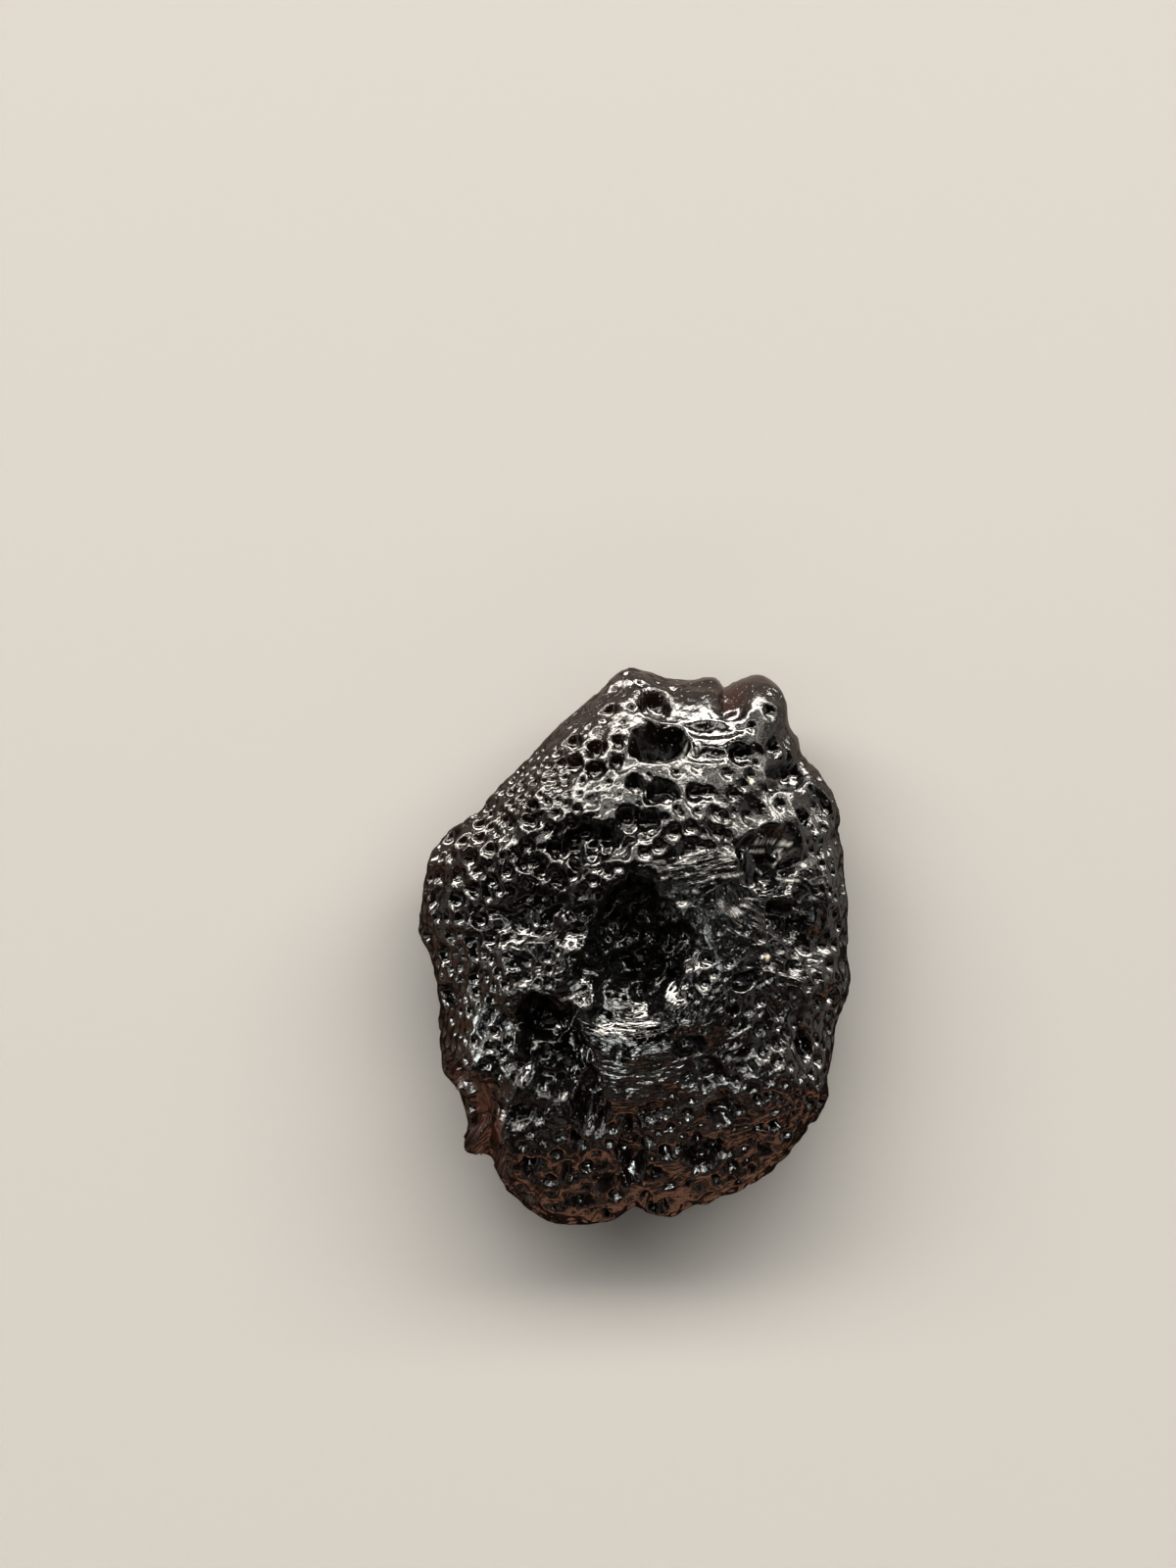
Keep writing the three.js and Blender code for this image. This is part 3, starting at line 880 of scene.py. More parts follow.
@dataclass(frozen=True)
class Flakes:
    """Scoops left by splinters on the chip: their number, how much they tilt and how hollow they are, and
    the cracks between them."""

    count: int = 13
    tilt: float = 0.8
    scoop: float = 0.7
    crack_depth: float = 0.26
    crack_width: float = 0.2
    limit: float = 0.3
    seed: int = 4

    def height_at(self, points: Array, chip: Array) -> Array:
        """Height of the scoops.

        Each scoop is a tilted plane plus the square of the distance from its middle times the
        hollowness; the lowest one counts, less the crack where the second lowest is close to it.

        Args:
            points: places in millimetres.
            chip: 1 on the broken shards and 0 on the rest.

        Returns:
            One height per place, 0 away from the chip.
        """
        rng = np.random.default_rng(self.seed)
        broken = points[chip > 0.5]
        middles = broken[rng.choice(len(broken), self.count, replace=False)]
        tilts = rng.normal(0.0, self.tilt / math.sqrt(3.0), (self.count, 3))
        gaps = points[:, None, :] - middles
        heights = (gaps * tilts).sum(axis=2) + self.scoop * (gaps**2).sum(axis=2)
        lowest, second = np.partition(heights, 1, axis=1).T[:2]
        crack = self.crack_depth * (1.0 - smoothstep(second - lowest, 0.0, self.crack_width))
        return chip * (np.clip(lowest, -self.limit, self.limit) - crack)


# Range of a share, and the places of a colour mix's two colours and its result among its sockets.
SHARE = (0.0, 1.0)
MIX_FIRST, MIX_SECOND, MIX_RESULT = 6, 7, 2


@dataclass
class Graph:
    """Short ways to add shader nodes to a tree."""

    tree: bpy.types.NodeTree

    def add(self, kind: str, **settings: object) -> bpy.types.Node:
        """Adds a node.

        Args:
            kind: the node's type.
            settings: the node's properties.

        Returns:
            The node.
        """
        node = self.tree.nodes.new(kind)
        for name, value in settings.items():
            setattr(node, name, value)
        return node

    def link(self, source: Socket, target: Socket) -> None:
        """Joins an output to an input."""
        self.tree.links.new(source, target)

    def value(self, mask: Mask) -> Socket:
        """A value held per point of the mesh."""
        return self.add("ShaderNodeAttribute", attribute_name=mask.value).outputs["Fac"]

    def noise(self, place: Socket, size: float, detail: float) -> Socket:
        """Smooth noise.

        Args:
            place: coordinates in metres.
            size: size of the largest features in millimetres.
            detail: number of finer layers.

        Returns:
            The noise, between 0 and 1.
        """
        node = self.add("ShaderNodeTexNoise")
        node.inputs["Scale"].default_value = 1.0 / (size * MILLIMETRE)
        node.inputs["Detail"].default_value = detail
        self.link(place, node.inputs["Vector"])
        return node.outputs["Fac"]

    def fill(self, node: bpy.types.Node, terms: dict[int, Socket | float | Colour]) -> None:
        """Fills a node's inputs.

        Args:
            node: the node.
            terms: a socket to link or a value to set for each input's number.
        """
        for number, term in terms.items():
            if isinstance(term, Socket):
                self.link(term, node.inputs[number])
            else:
                node.inputs[number].default_value = (*term, 1.0) if isinstance(term, tuple) else term

    def math(self, operation: str, *terms: Socket | float) -> Socket:
        """One arithmetic step.

        Args:
            operation: the step.
            terms: sockets or numbers.

        Returns:
            The result.
        """
        node = self.add("ShaderNodeMath", operation=operation)
        self.fill(node, dict(enumerate(terms)))
        return node.outputs["Value"]

    def ranged(self, source: Socket, held: Span, given: Span) -> Socket:
        """A value moved from one range to another and kept inside it.

        Args:
            source: the value.
            held: the range it comes from.
            given: the range it goes to, at the ends of the first.

        Returns:
            The moved value.
        """
        node = self.add("ShaderNodeMapRange")
        self.link(source, node.inputs["Value"])
        for name, number in zip(("From Min", "From Max", "To Min", "To Max"), (*held, *given)):
            node.inputs[name].default_value = number
        return node.outputs["Result"]

    def mix(self, share: Socket, first: Socket | Colour, second: Socket | Colour) -> Socket:
        """A colour between two.

        Args:
            share: share of the second colour.
            first: a socket or a colour.
            second: a socket or a colour.

        Returns:
            The mixed colour.
        """
        node = self.add("ShaderNodeMix", data_type="RGBA")
        self.link(share, node.inputs["Factor"])
        self.fill(node, {MIX_FIRST: first, MIX_SECOND: second})
        return node.outputs[MIX_RESULT]


@dataclass(frozen=True)
class BlackGlass:
    """Black natural glass: glossy in the pits, satin on the ridges and brownish where it's broken; painted
    warm reflection and painted shade brown it towards the lower rim, on the shoulder and in the notch.
    """

    name: str = "black_glass"
    black: Colour = (0.0008, 0.0007, 0.0006)
    # Brown of the chip, also used for the painted warm reflection and painted shade.
    brown: Colour = (0.07, 0.02, 0.011)
    mineral: Colour = (0.5, 0.45, 0.32)
    frost: Colour = (0.33, 0.33, 0.31)
    cloud_size: float = 1.1
    clouds_held: Span = (0.3, 0.7)
    clouded_tint: Span = (0.35, 1.0)
    patch_size: float = 0.35
    patches_held: Span = (0.35, 0.7)
    worn_roughness: float = 0.06
    satin_roughness: float = 0.02
    roughness: Span = (0.17, 0.07)
    grain_size: float = 0.08
    grain_height: Span = (1.0, 0.3)
    streak_size: float = 0.1
    streak_height: Span = (1.0, 0.4)
    fibre_height: Span = (0.8, 4.0)
    cell_size: float = 0.16
    cell_clouds: Span = (0.5, 0.62)
    cell_height: float = 0.5
    cell_fade: Span = (1.0, 0.2)
    mote_size: float = 0.11
    motes_held: Span = (0.67, 0.8)
    mote_height: float = 1.1
    bump_depth: float = 0.012

    def build(self) -> bpy.types.Material:
        """Makes the material.

        Returns:
            The material, reading the stone's own point values and Object coordinates.
        """
        material = bpy.data.materials.new(self.name)
        material.use_nodes = True
        graph = Graph(material.node_tree)
        shader = graph.tree.nodes["Principled BSDF"]
        place = graph.add("ShaderNodeTexCoord").outputs["Object"]
        clouds = graph.noise(place, self.cloud_size, detail=3.0)
        polish = graph.value(Mask.POLISH)
        graph.link(self.colour(graph, clouds), shader.inputs["Base Color"])
        graph.link(self.gloss(graph, place, polish), shader.inputs["Roughness"])
        bump = graph.add("ShaderNodeBump")
        bump.inputs["Strength"].default_value = 1.0
        bump.inputs["Distance"].default_value = self.bump_depth * MILLIMETRE
        graph.link(self.relief(graph, place, clouds, polish), bump.inputs["Height"])
        graph.link(bump.outputs["Normal"], shader.inputs["Normal"])
        return material

    def colour(self, graph: Graph, clouds: Socket) -> Socket:
        """Black that turns brown by the brown share, which is the chip's own brown and painted warm
        reflection and painted shade elsewhere, with pale specks and frosted scratches.

        Args:
            graph: the material's nodes.
            clouds: large soft noise.

        Returns:
            The colour.
        """
        clouded = graph.ranged(clouds, self.clouds_held, self.clouded_tint)
        # The brown share is the chip's own brown, plus painted warm reflection and painted shade elsewhere.
        browned = graph.math("MULTIPLY", graph.value(Mask.TINT), clouded)
        colour = graph.mix(browned, self.black, self.brown)
        colour = graph.mix(graph.value(Mask.SPECK), colour, self.mineral)
        return graph.mix(graph.value(Mask.SCRATCH), colour, self.frost)

    def gloss(self, graph: Graph, place: Socket, polish: Socket) -> Socket:
        """Roughness that falls with the polish and rises in worn patches and on satin ridges.

        Args:
            graph: the material's nodes.
            place: Object coordinates.
            polish: how polished the glass is.

        Returns:
            The roughness.
        """
        patches = graph.noise(place, self.patch_size, detail=2.0)
        worn = graph.ranged(patches, self.patches_held, (0.0, self.worn_roughness))
        gloss = graph.math("ADD", graph.ranged(polish, SHARE, self.roughness), worn)
        satin = graph.ranged(graph.value(Mask.SATIN), SHARE, (0.0, self.satin_roughness))
        return graph.math("ADD", gloss, satin)

    def relief(self, graph: Graph, place: Socket, clouds: Socket, polish: Socket) -> Socket:
        """Height of the relief that is too fine for the mesh: grain, streaks along the flow lines, tiny
        cells and scattered motes.

        Args:
            graph: the material's nodes.
            place: Object coordinates.
            clouds: large soft noise.
            polish: how polished the glass is.

        Returns:
            The height, in shares of the bump's depth.
        """
        grain = graph.noise(place, self.grain_size, detail=3.0)
        height = graph.math("MULTIPLY", grain, graph.ranged(polish, SHARE, self.grain_height))
        flow = graph.add("ShaderNodeAttribute", attribute_name=Mask.FLOW.value).outputs["Vector"]
        streaks = graph.noise(flow, self.streak_size, detail=2.0)
        sunk = graph.ranged(graph.value(Mask.HOLLOW), SHARE, self.streak_height)
        fibre = graph.ranged(graph.value(Mask.FIBRE), SHARE, self.fibre_height)
        streaked = graph.math("MULTIPLY", graph.math("MULTIPLY", streaks, sunk), fibre)
        height = graph.math("ADD", height, streaked)
        cells = graph.add("ShaderNodeTexVoronoi")
        cells.inputs["Scale"].default_value = 1.0 / (self.cell_size * MILLIMETRE)
        graph.link(place, cells.inputs["Vector"])
        shown = graph.ranged(clouds, self.cell_clouds, (0.0, self.cell_height))
        pocked = graph.math("MULTIPLY", cells.outputs["Distance"], shown)
        faded = graph.math("MULTIPLY", pocked, graph.ranged(polish, SHARE, self.cell_fade))
        height = graph.math("ADD", height, faded)
        motes = graph.noise(place, self.mote_size, detail=0.0)
        return graph.math("ADD", height, graph.ranged(motes, self.motes_held, (0.0, self.mote_height)))


@dataclass(frozen=True)
class Blank:
    """The smooth body before anything is carved: directions, faces and places of its points, and where
    the chip and the smooth patches are."""

    ways: Array
    quads: Indices
    base: Array
    chip: Array
    smooth: Array

    @property
    def whole(self) -> Array:
        """1 away from the chip and 0 on it."""
        return 1.0 - self.chip


@dataclass(frozen=True)
class FlowLines:
    """All the flow lines: their zones, how they waver, where they break off and how they fade in the
    large hollows."""

    zones: tuple[FlowZone, ...] = FLOW_ZONES
    wander: tuple[Unevenness, ...] = (Unevenness(0.25, 1.6, 11), Unevenness(0.12, 0.7, 12))
    breaks: Unevenness = Unevenness(0.4, 0.8, 13)
    break_level: float = 0.7
    break_limits: Span = (0.15, 1.1)
    second_rhythm: float = 0.87
    second_start: float = 1.0
    second_height: float = 0.6
    hollow_fade: float = 0.3
    hollow_depths: Span = (0.3, 0.9)
    full_height: float = 0.04
    fibre_shares: Span = (0.1, 0.7)
    stretch: tuple[float, float] = (0.12, 0.2)

    def height_at(self, base: Array, points: Array, hollow: Array) -> Array:
        """Height of the flow lines, weaker inside the large hollows.

        Across the lines the height falls off on both sides of sharp crests, as 1 less the size of a sine
        does, for two rows of crests, the second lower and closer together.

        Args:
            base: places on the smooth body.
            points: places on the carved surface.
            hollow: depth of the large hollows at each point.

        Returns:
            Height in millimetres.
        """
        wander = sum(unevenness.at(points) for unevenness in self.wander)
        total = np.zeros(len(points))
        for zone in self.zones:
            phase = 2.0 * math.pi * (zone.across(base) / zone.spacing + wander)
            second = self.second_height * np.abs(np.sin(self.second_rhythm * phase + self.second_start))
            crests = 1.0 + self.second_height - np.abs(np.sin(0.5 * phase)) - second
            total += zone.weight(base) * zone.height * crests
        broken = np.clip(self.break_level + self.breaks.at(points), *self.break_limits)
        return total * broken * (1.0 - self.hollow_fade * smoothstep(hollow, *self.hollow_depths))

    def point_values(self, base: Array, points: Array) -> dict[Mask, Array]:
        """Values for the material: how fibrous the glass is, and coordinates along the lines.

        Args:
            base: places on the smooth body.
            points: places on the carved surface.

        Returns:
            One share, and one row of three coordinates in metres, per point.
        """
        weights = np.stack([zone.weight(base) for zone in self.zones])
        heights = np.clip(np.array([zone.height for zone in self.zones]) / self.full_height, 0.0, 1.0)
        chosen = weights.argmax(axis=0)
        across = np.choose(chosen, [zone.across(base) for zone in self.zones])
        along = np.choose(chosen, [zone.along(base) for zone in self.zones])
        drawn, raised = self.stretch
        flow = np.stack([across, drawn * along, points[:, 2] * raised], axis=1) * MILLIMETRE
        fibre = smoothstep((weights.T * heights).max(axis=1), *self.fibre_shares)
        return {Mask.FIBRE: fibre, Mask.FLOW: flow}


@dataclass(frozen=True)
class Colouring:
    """Where the glass is brown, polished, pale, satin or scratched; part of the brown is painted warm
    reflection and painted shade.
    """

    # Painted warm reflection: brown towards the lower rim.
    low_painted_reflection: float = 0.03
    low_lean: float = 0.35
    low_levels: Span = (2.2, 6.5)
    chip_tint: float = 0.55
    chip_level: float = 0.65
    chip_clouds: Unevenness = Unevenness(0.5, 0.8, 14)
    chip_limits: Span = (0.1, 1.2)
    chip_polish: float = 0.45
    # Painted shade: brown in the notch stands in for shade seen through it.
    notch: Spot = Spot(2.95, 7.7, 0.5, 0.6, 1.0)
    notch_painted_shade: float = 0.35
    # Painted warm reflection: brown on the shoulder.
    shoulder_painted_reflection: float = 0.08
    shoulder_lean: float = 0.8
    shoulder_levels: Span = (5.5, 7.5)
    knob: Spot = Spot(-3.6, -0.55, 0.3, 0.3, 1.0)
    smooth_polish: float = 0.9
    pit_depths: Span = (0.02, 0.12)
    hollow_polish: float = 0.7
    polish_depths: Span = (0.1, 0.4)
    hollow_depths: Span = (0.1, 0.8)
    satin_lean: float = 0.25
    satin_levels: Span = (2.8, 4.2)
    specks: tuple[Spot, ...] = (Spot(3.88, -0.2, 0.06, 0.08), Spot(3.4, 4.98, 0.06, 0.08))
    scratches: tuple[Scratch, ...] = SCRATCHES

    def brown_and_painted_light_at(self, base: Array, points: Array, chip: Array) -> Array:
        """How brown the glass is: the chip's own brown, painted warm reflection towards the lower rim and on
        the shoulder, and painted shade in the notch.

        Args:
            base: places on the smooth body.
            points: places on the carved surface.
            chip: 1 on the broken shards and 0 on the rest.

        Returns:
            One share per point.
        """
        x, y = base[:, 0], base[:, 1]
        # Painted warm reflection, browner towards the lower rim.
        low = self.low_painted_reflection * smoothstep(-y + self.low_lean * x, *self.low_levels)
        clouds = np.clip(self.chip_level + self.chip_clouds.at(points), *self.chip_limits)
        broken = self.chip_tint * chip * clouds
        # Painted warm reflection on the shoulder.
        shoulder = self.shoulder_painted_reflection * smoothstep(y - self.shoulder_lean * x, *self.shoulder_levels)
        # Painted shade in the notch.
        notch = self.notch_painted_shade * self.notch.share_at(base)
        return np.clip(low + broken + notch + shoulder, 0.0, 1.0)

    def point_values(self, blank: Blank, points: Array, hollow: Array, pitted: Array) -> dict[Mask, Array]:
        """Values for the material.

        Args:
            blank: the smooth body.
            points: places on the carved surface.
            hollow: depth of the large hollows at each point.
            pitted: depth of the pits at each point, without the cups.

        Returns:
            One share per point for each mask.
        """
        base, chip = blank.base, blank.chip
        deep = self.hollow_polish * smoothstep(hollow, *self.polish_depths)
        sunk = np.maximum(smoothstep(pitted, *self.pit_depths), deep)
        polish = self.smooth_polish * blank.smooth + self.knob.share_at(base) + self.chip_polish * chip
        above = base[:, 1] - self.satin_lean * np.abs(base[:, 0])
        return {
            Mask.TINT: self.brown_and_painted_light_at(base, points, chip),
            Mask.POLISH: np.clip(polish + sunk, 0.0, 1.0),
            Mask.SPECK: np.clip(sum(speck.share_at(base) for speck in self.specks), 0.0, 1.0),
            Mask.HOLLOW: smoothstep(hollow, *self.hollow_depths),
            Mask.SCRATCH: np.max([scratch.share_at(points) for scratch in self.scratches], axis=0),
            Mask.SATIN: smoothstep(above, *self.satin_levels) * (1.0 - sunk),
        }


@dataclass
class Tektite:
    """The stone: its body, what is carved into it and its glass."""

    body: Body = Body()
    lattice: Lattice = Lattice()
    cups: PitField = PitField(17, 0.48, PitKind.SCATTERED)
    fine: PitField = PitField(41, 0.22, PitKind.CROWDED, PIT_ZONES)
    dents: Dents = Dents()
    flakes: Flakes = Flakes()
    flows: FlowLines = FlowLines()
    colouring: Colouring = Colouring()
    glass: BlackGlass = BlackGlass()
    basins: tuple[Hollow, ...] = BASINS
    hollows: tuple[Hollow, ...] = HOLLOWS
    pits: tuple[Pit, ...] = PITS
    bubbles: tuple[Pit, ...] = BUBBLES
    swells: tuple[Swell, ...] = SWELLS
    patches: tuple[Spot, ...] = SMOOTH_PATCHES
    face_levels: Span = (-0.05, 0.2)
    edge_wander: tuple[Unevenness, ...] = (Unevenness(0.12, 1.3, 21), Unevenness(0.05, 0.6, 24))
    ruggedness: tuple[Unevenness, ...] = (Unevenness(0.05, 2.0, 31), Unevenness(0.018, 0.8, 32))
    steadying: float = 0.8
    steady_end: Span = (4.3, 5.3)
    blunt_end: Span = (4.2, 5.2)
    left_side: Span = (0.6, 1.6)
    left_levels: Span = (-1.0, 0.0)
    cup_thinning: float = 0.85
    cup_share: float = 0.5
    pit_thinning: float = 0.9
    pit_margin: Span = (0.0, 0.05)
    ripple: Unevenness = Unevenness(0.003, 0.28, 5, 40)
    ripple_lean: float = 0.8
    ripple_levels: Span = (4.8, 6.5)
    masks: dict[Mask, Array] = field(default_factory=dict)

    def blank(self) -> Blank:
        """The smooth body.

        Returns:
            Its points and faces, and where the chip and the smooth patches are.
        """
        ways, quads = self.lattice.build(self.body)
        base = self.body.surface(ways)
        smooth = np.max([patch.share_at(base) for patch in self.patches], axis=0)
        return Blank(ways, quads, base, self.body.chip_share(ways), smooth)

    def hollow_depth(self, points: Array) -> Array:
        """Depth of the large hollows.

        It is the cube root of the sum of their cubes, which joins them softly, below the basins that
        they lie in.

        Args:
            points: places in millimetres.

        Returns:
            One depth per place.
        """
        joined = np.cbrt(sum(hollow.depth_at(points) ** 3 for hollow in self.hollows))
        return joined + sum(basin.depth_at(points) for basin in self.basins)

    def rough_out(self, blank: Blank) -> tuple[Skin, Array]:
        """Carves the large forms: swellings, ruggedness, the chip's scoops, large hollows and dents.

        The rims of the hollows waver, but less on the blunt end and the smooth patches.

        Args:
            blank: the smooth body.

        Returns:
            The surface, and the depth of the large hollows at each point.
        """
        base, way = blank.base, self.body.carve_way(blank.ways)
        share = smoothstep(blank.ways[:, 2], *self.face_levels) * blank.whole
        sunk = base - way * (share * self.hollow_depth(base))[:, None]
        wander = [sum(unevenness.at(sunk, axis) for unevenness in self.edge_wander) for axis in range(3)]
        blunt = smoothstep(base[:, 1], *self.steady_end)
        steady = 1.0 - self.steadying * np.maximum(blunt, blank.smooth)
        hollow = share * self.hollow_depth(base + np.stack(wander, axis=1) * steady[:, None])
        swell = share * sum(swell.height_at(base) for swell in self.swells)
        dent = blank.whole * self.dents.pits(self.body).depth_at(base)
        rugged = blank.whole * steady * sum(unevenness.at(base) for unevenness in self.ruggedness)
        flake = self.flakes.height_at(base, blank.chip)
        return Skin(base + way * (swell + rugged + flake - hollow - dent)[:, None], blank.quads), hollow

    def press_pits(self, skin: Skin, blank: Blank) -> Array:
        """Presses in the pits, from the large cups to the small pits of the zones, and raises the bubbles.

        Args:
            skin: the surface, which is changed.
            blank: the smooth body.

        Returns:
            Depth of the pits at each point, without the cups.
        """
        base = blank.base
        plain = blank.whole * (1.0 - blank.smooth)
        crowded = smoothstep(-base[:, 0], *self.left_side) * smoothstep(base[:, 1], *self.left_levels)
        blunt = smoothstep(base[:, 1], *self.blunt_end)
        cups = self.cups.place(skin, plain * (1.0 - self.cup_thinning * np.maximum(blunt, crowded)))
        skin.push(-self.cup_share * cups.depth_at(skin.points), softening=6)
        pit = Pits.on_face(skin.points, self.pits).depth_at(skin.points)
        skin.push(-pit, softening=6)
        skin.push(Pits.on_face(skin.points, self.bubbles).depth_at(skin.points), softening=6)
        small = self.fine.place(skin, plain * (1.0 - self.pit_thinning * smoothstep(pit, *self.pit_margin)))
        LOG.info("small pits: %d", len(small.radii))
        tiny = small.depth_at(skin.points)
        skin.push(-tiny, softening=4)
        return pit + tiny

    def carve(self) -> Skin:
        """Shapes the whole surface and holds the values for the material.

        Returns:
            The surface in millimetres about the middle of the widest level.
        """
        blank = self.blank()
        base = blank.base
        skin, hollow = self.rough_out(blank)
        pitted = self.press_pits(skin, blank)
        skin.push(self.flows.height_at(base, skin.points, hollow), softening=2)
        shoulder = smoothstep(base[:, 1] - self.ripple_lean * base[:, 0], *self.ripple_levels) * blank.whole
        skin.push((1.0 + shoulder) * self.ripple.at(skin.points), softening=1)
        skin.points[:, 2] = np.maximum(skin.points[:, 2], -self.body.rest_depth)
        self.masks = self.colouring.point_values(blank, skin.points, hollow, pitted)
        self.masks.update(self.flows.point_values(base, skin.points))
        self.masks[Mask.FIBRE] = self.masks[Mask.FIBRE] * blank.whole
        return skin

    def build(self) -> bpy.types.Object:
        """Makes the stone's object, resting on the floor and centred in the shared frame.

        Returns:
            The object.
        """
        skin = self.carve()
        low, high = skin.points.min(axis=0), skin.points.max(axis=0)
        shift = np.array([(low[0] + high[0]) / 2.0, (low[1] + high[1]) / 2.0, -self.body.rest_depth])
        mesh = bpy.data.meshes.new("tektite")
        places = (skin.points - shift) * MILLIMETRE
        mesh.vertices.add(len(places))
        mesh.vertices.foreach_set("co", places.ravel())
        mesh.loops.add(skin.quads.size)
        mesh.loops.foreach_set("vertex_index", skin.quads.ravel().astype(np.int32))
        mesh.polygons.add(len(skin.quads))
        mesh.polygons.foreach_set("loop_start", np.arange(0, skin.quads.size, 4, dtype=np.int32))
        mesh.update(calc_edges=True)
        mesh.validate()
        mesh.shade_smooth()
        for mask, values in self.masks.items():
            vector = values.ndim == 2
            held = mesh.attributes.new(mask.value, "FLOAT_VECTOR" if vector else "FLOAT", "POINT")
            held.data.foreach_set("vector" if vector else "value", values.astype(np.float32).ravel())
        mesh.materials.append(self.glass.build())
        stone = bpy.data.objects.new("tektite_stone", mesh)
        bpy.context.scene.collection.objects.link(stone)
        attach(stone, "root")
        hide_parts("tektite")
        size = (high - low).round(2)
        LOG.info("stone: %d points, %d faces, %s mm", len(places), len(skin.quads), size.tolist())
        return stone


# Colours of the lights: faintly green for the small cards, and plain white.
COOL = (0.96, 1.0, 0.97)
WHITE = (1.0, 1.0, 1.0)


class PanelUse(Enum):
    """What a panel of light is for."""

    BOTH = "both"
    MATT = "matt"
    GLOSS = "gloss"


@dataclass(frozen=True)
class Panel:
    """A flat soft light that faces a place given in millimetres; its distance and sizes are in metres."""

    name: str
    azimuth: float
    elevation: float
    distance: float
    width: float
    height: float
    radiance: float
    colour: Colour = (1.0, 0.95, 0.88)
    use: PanelUse = PanelUse.BOTH
    aim: Place = (0.0, 0.0, 0.0)
    spread: float = 180.0

    def build(self) -> None:
        """Adds the light; its power is pi times its area times its radiance."""
        light = bpy.data.lights.new(self.name, "AREA")
        light.shape = "RECTANGLE"
        light.size, light.size_y = self.width, self.height
        light.energy = math.pi * self.width * self.height * self.radiance
        light.color = self.colour
        light.spread = math.radians(self.spread)
        lamp = bpy.data.objects.new(self.name, light)
        bpy.context.scene.collection.objects.link(lamp)
        a, e = math.radians(self.azimuth), math.radians(self.elevation)
        way = Vector((math.cos(a) * math.cos(e), math.sin(a) * math.cos(e), math.sin(e)))
        lamp.location = Vector(self.aim) * MILLIMETRE + way * self.distance
        lamp.rotation_euler = way.to_track_quat("Z", "Y").to_euler()
        lamp.visible_camera = False
        lamp.visible_glossy = self.use is not PanelUse.MATT
        lamp.visible_diffuse = self.use is not PanelUse.GLOSS


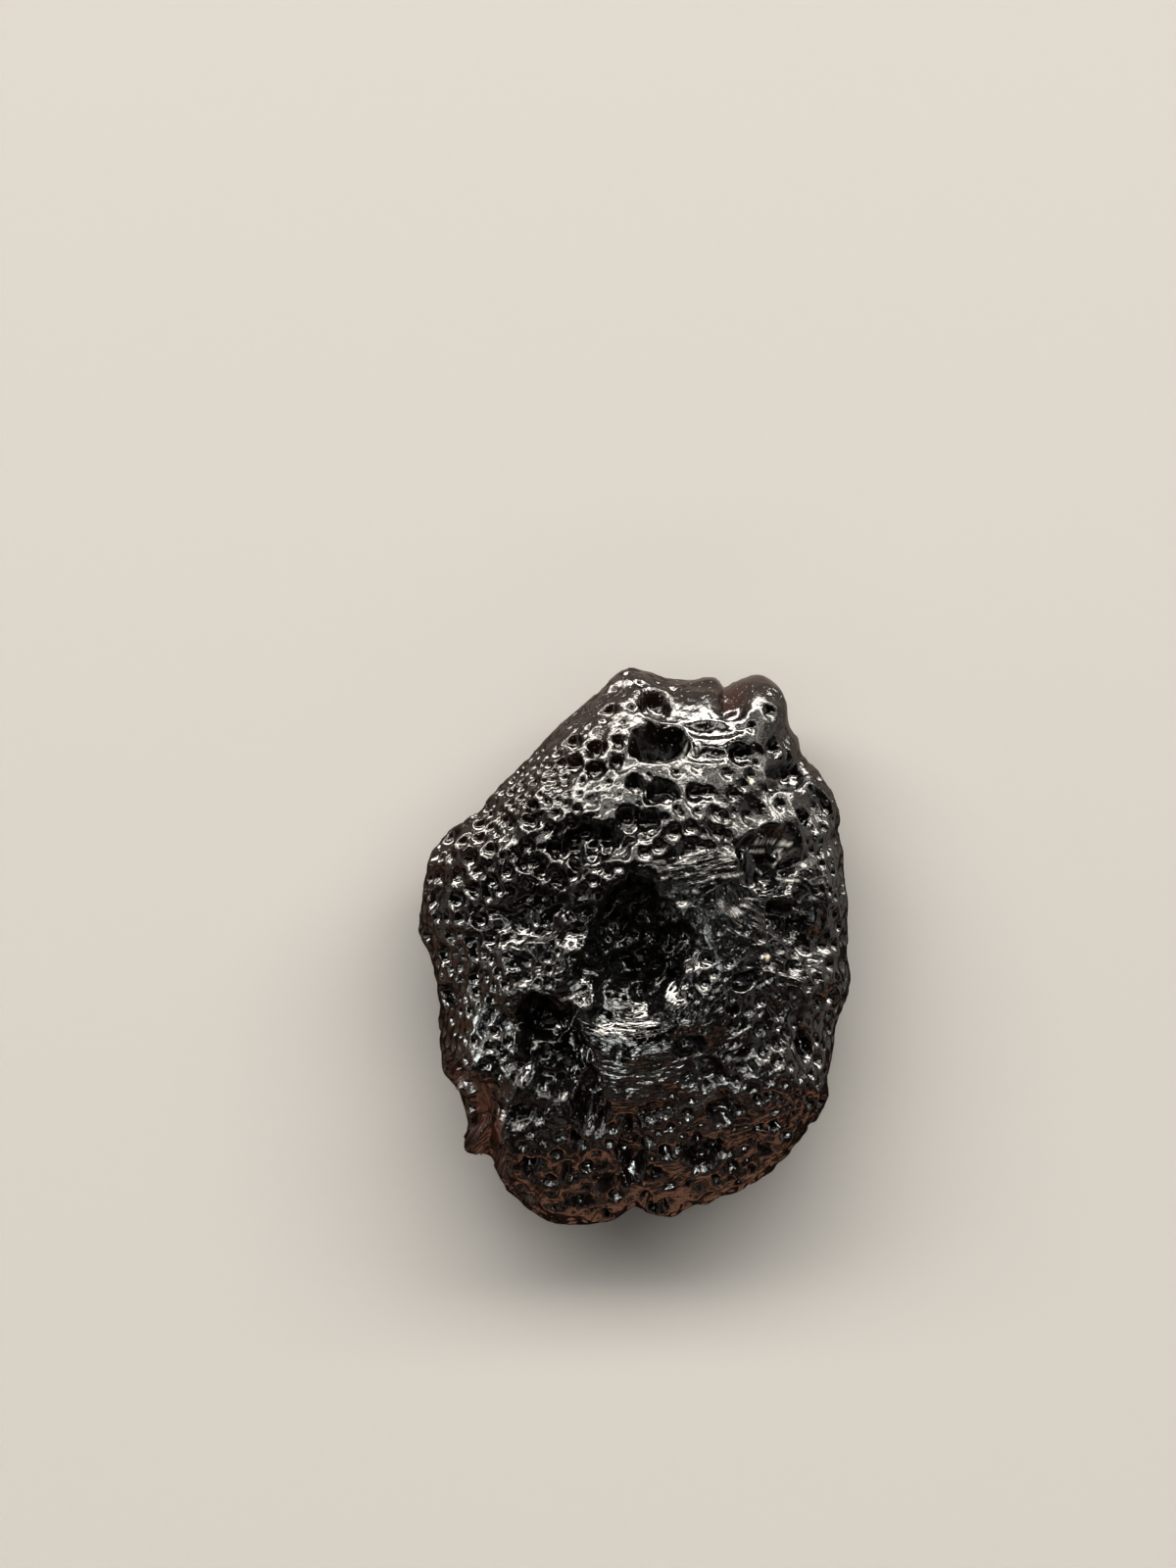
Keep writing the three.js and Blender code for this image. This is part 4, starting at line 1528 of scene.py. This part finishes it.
@dataclass(frozen=True)
class Studio:
    """Pale floor, soft lights and the camera."""

    panels: tuple[Panel, ...] = (
        Panel("key", 90, 15.5, 0.4, 1.2, 0.12, 30.0, use=PanelUse.GLOSS),
        Panel("key_soft", 90, 60, 0.6, 1.2, 0.12, 13.0, use=PanelUse.MATT),
        Panel("upper_key", 90, 50, 0.4, 0.9, 0.05, 13.0),
        Panel("right_fill", 5, 15, 0.4, 0.4, 0.12, 0.9),
        Panel("low_sheen", 275, 46, 0.4, 0.5, 0.07, 1.5, (1.0, 0.85, 0.74)),
        Panel("left_fill", 178, 20, 0.4, 0.4, 0.18, 1.0),
        Panel("low_fill", 285, 30, 0.4, 0.9, 0.3, 0.12, (1.0, 0.7, 0.52)),
        Panel("overhead", 90, 75, 0.6, 0.7, 0.7, 1.8, WHITE, PanelUse.MATT),
        Panel("low_card", 282, 19.0, 0.014, 0.024, 0.0055, 1.9, (1.0, 0.53, 0.35), PanelUse.GLOSS),
        Panel("right_card", 5, 18, 0.0125, 0.014, 0.0075, 0.8, (1.0, 0.94, 0.86), PanelUse.GLOSS),
        Panel("left_card", 205, 18, 0.0125, 0.014, 0.0075, 0.6, (1.0, 0.6, 0.42), PanelUse.GLOSS),
    )
    cards: tuple[Panel, ...] = (
        Panel("low_glints", 90, 72, 0.006, 0.0056, 0.0019, 3.4, COOL, PanelUse.GLOSS, (2.9, -5.0, 7.0), 70),
        Panel("end_glints", 90, 70, 0.006, 0.0045, 0.0014, 1.6, COOL, PanelUse.GLOSS, (-0.8, -7.2, 5.8), 50),
        Panel("low_sheet", 270, 86, 0.005, 0.0034, 0.0016, 1.9, COOL, PanelUse.GLOSS, (0.6, -3.7, 7.6), 55),
        Panel("left_glints", 172, 40, 0.006, 0.003, 0.0018, 4.4, COOL, PanelUse.GLOSS, (-5.0, -3.0, 6.9), 70),
        Panel("ridge_glints", 15, 36, 0.004, 0.0014, 0.002, 2.0, COOL, PanelUse.GLOSS, (-1.7, -0.7, 8.0), 80),
        Panel("middle_glints", 80, 72, 0.005, 0.003, 0.0014, 3.0, COOL, PanelUse.GLOSS, (2.7, -0.8, 8.0), 80),
    )
    floor_reach: float = 1.5
    floor_roughness: float = 0.9
    floor_colour: Colour = (0.28, 0.275, 0.265)
    # Painted reflection: the floor shows these darker brownish colours only to glossy rays, for a dim warm
    # sheen on the stone's steep flanks.
    mirrored_below: Colour = (0.025, 0.0145, 0.0105)
    mirrored_above: Colour = (0.3, 0.26, 0.235)
    mirrored_change: Span = (0.002, 0.012)
    sky: float = 0.003
    exposure: float = 0.35
    gamma: float = 0.84
    camera_distance: float = 0.15
    frame_height: float = 0.04706
    frame_middle: tuple[float, float] = (-0.00141, 0.00487)
    focus_level: float = 0.0039
    sensor: float = 36.0
    clip_range: Span = (0.01, 10.0)

    def build(self) -> None:
        """Builds the floor, the lights, the sky and the camera."""
        self.build_floor()
        for panel in (*self.panels, *self.cards):
            panel.build()
        world = bpy.data.worlds.new("soft_sky")
        world.use_nodes = True
        background = world.node_tree.nodes["Background"]
        background.inputs["Color"].default_value = (*WHITE, 1.0)
        background.inputs["Strength"].default_value = self.sky
        bpy.context.scene.world = world
        view = bpy.context.scene.view_settings
        view.view_transform = "Standard"
        view.exposure, view.gamma = self.exposure, self.gamma
        self.build_camera()

    def build_floor(self) -> None:
        """A wide level sheet at the stone's base, evenly pale to the camera; to glossy rays it shows darker
        brownish colours, a painted reflection on the stone.
        """
        mesh = bpy.data.meshes.new("floor")
        reach = self.floor_reach
        corners = [(-reach, -reach, 0.0), (reach, -reach, 0.0), (reach, reach, 0.0), (-reach, reach, 0.0)]
        mesh.from_pydata(corners, [], [(0, 1, 2, 3)])
        material = bpy.data.materials.new("floor_paper")
        material.use_nodes = True
        graph = Graph(material.node_tree)
        shader = graph.tree.nodes["Principled BSDF"]
        # Painted reflection: glossy rays see a darker brownish floor towards -Y and a paler one towards +Y.
        mirrored = graph.add("ShaderNodeLightPath").outputs["Is Glossy Ray"]
        apart = graph.add("ShaderNodeSeparateXYZ")
        graph.link(graph.add("ShaderNodeTexCoord").outputs["Object"], apart.inputs["Vector"])
        above = graph.ranged(apart.outputs["Y"], self.mirrored_change, SHARE)
        shown = graph.mix(above, self.mirrored_below, self.mirrored_above)
        graph.link(graph.mix(mirrored, self.floor_colour, shown), shader.inputs["Base Color"])
        shader.inputs["Roughness"].default_value = self.floor_roughness
        shader.inputs["Specular IOR Level"].default_value = 0.0
        mesh.materials.append(material)
        floor = bpy.data.objects.new("floor", mesh)
        bpy.context.scene.collection.objects.link(floor)

    def build_camera(self) -> None:
        """A camera looking straight down, with the stone's blunt end at the top of the picture."""
        camera = bpy.data.cameras.new("camera")
        camera.sensor_fit = "VERTICAL"
        camera.sensor_height = self.sensor
        camera.lens = self.sensor * self.camera_distance / self.frame_height
        camera.clip_start, camera.clip_end = self.clip_range
        eye = bpy.data.objects.new("camera", camera)
        eye.location = (*self.frame_middle, self.focus_level + self.camera_distance)
        bpy.context.scene.collection.objects.link(eye)
        bpy.context.scene.camera = eye


def main() -> None:
    """Builds the stone and the studio and notes the sizes."""
    logging.basicConfig(level=logging.INFO, format="%(name)s: %(message)s")
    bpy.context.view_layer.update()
    stone = Tektite().build()
    LOG.info("piece %s stands for the node tektite", stone.name)
    Studio().build()


if __name__ == "__main__":
    main()
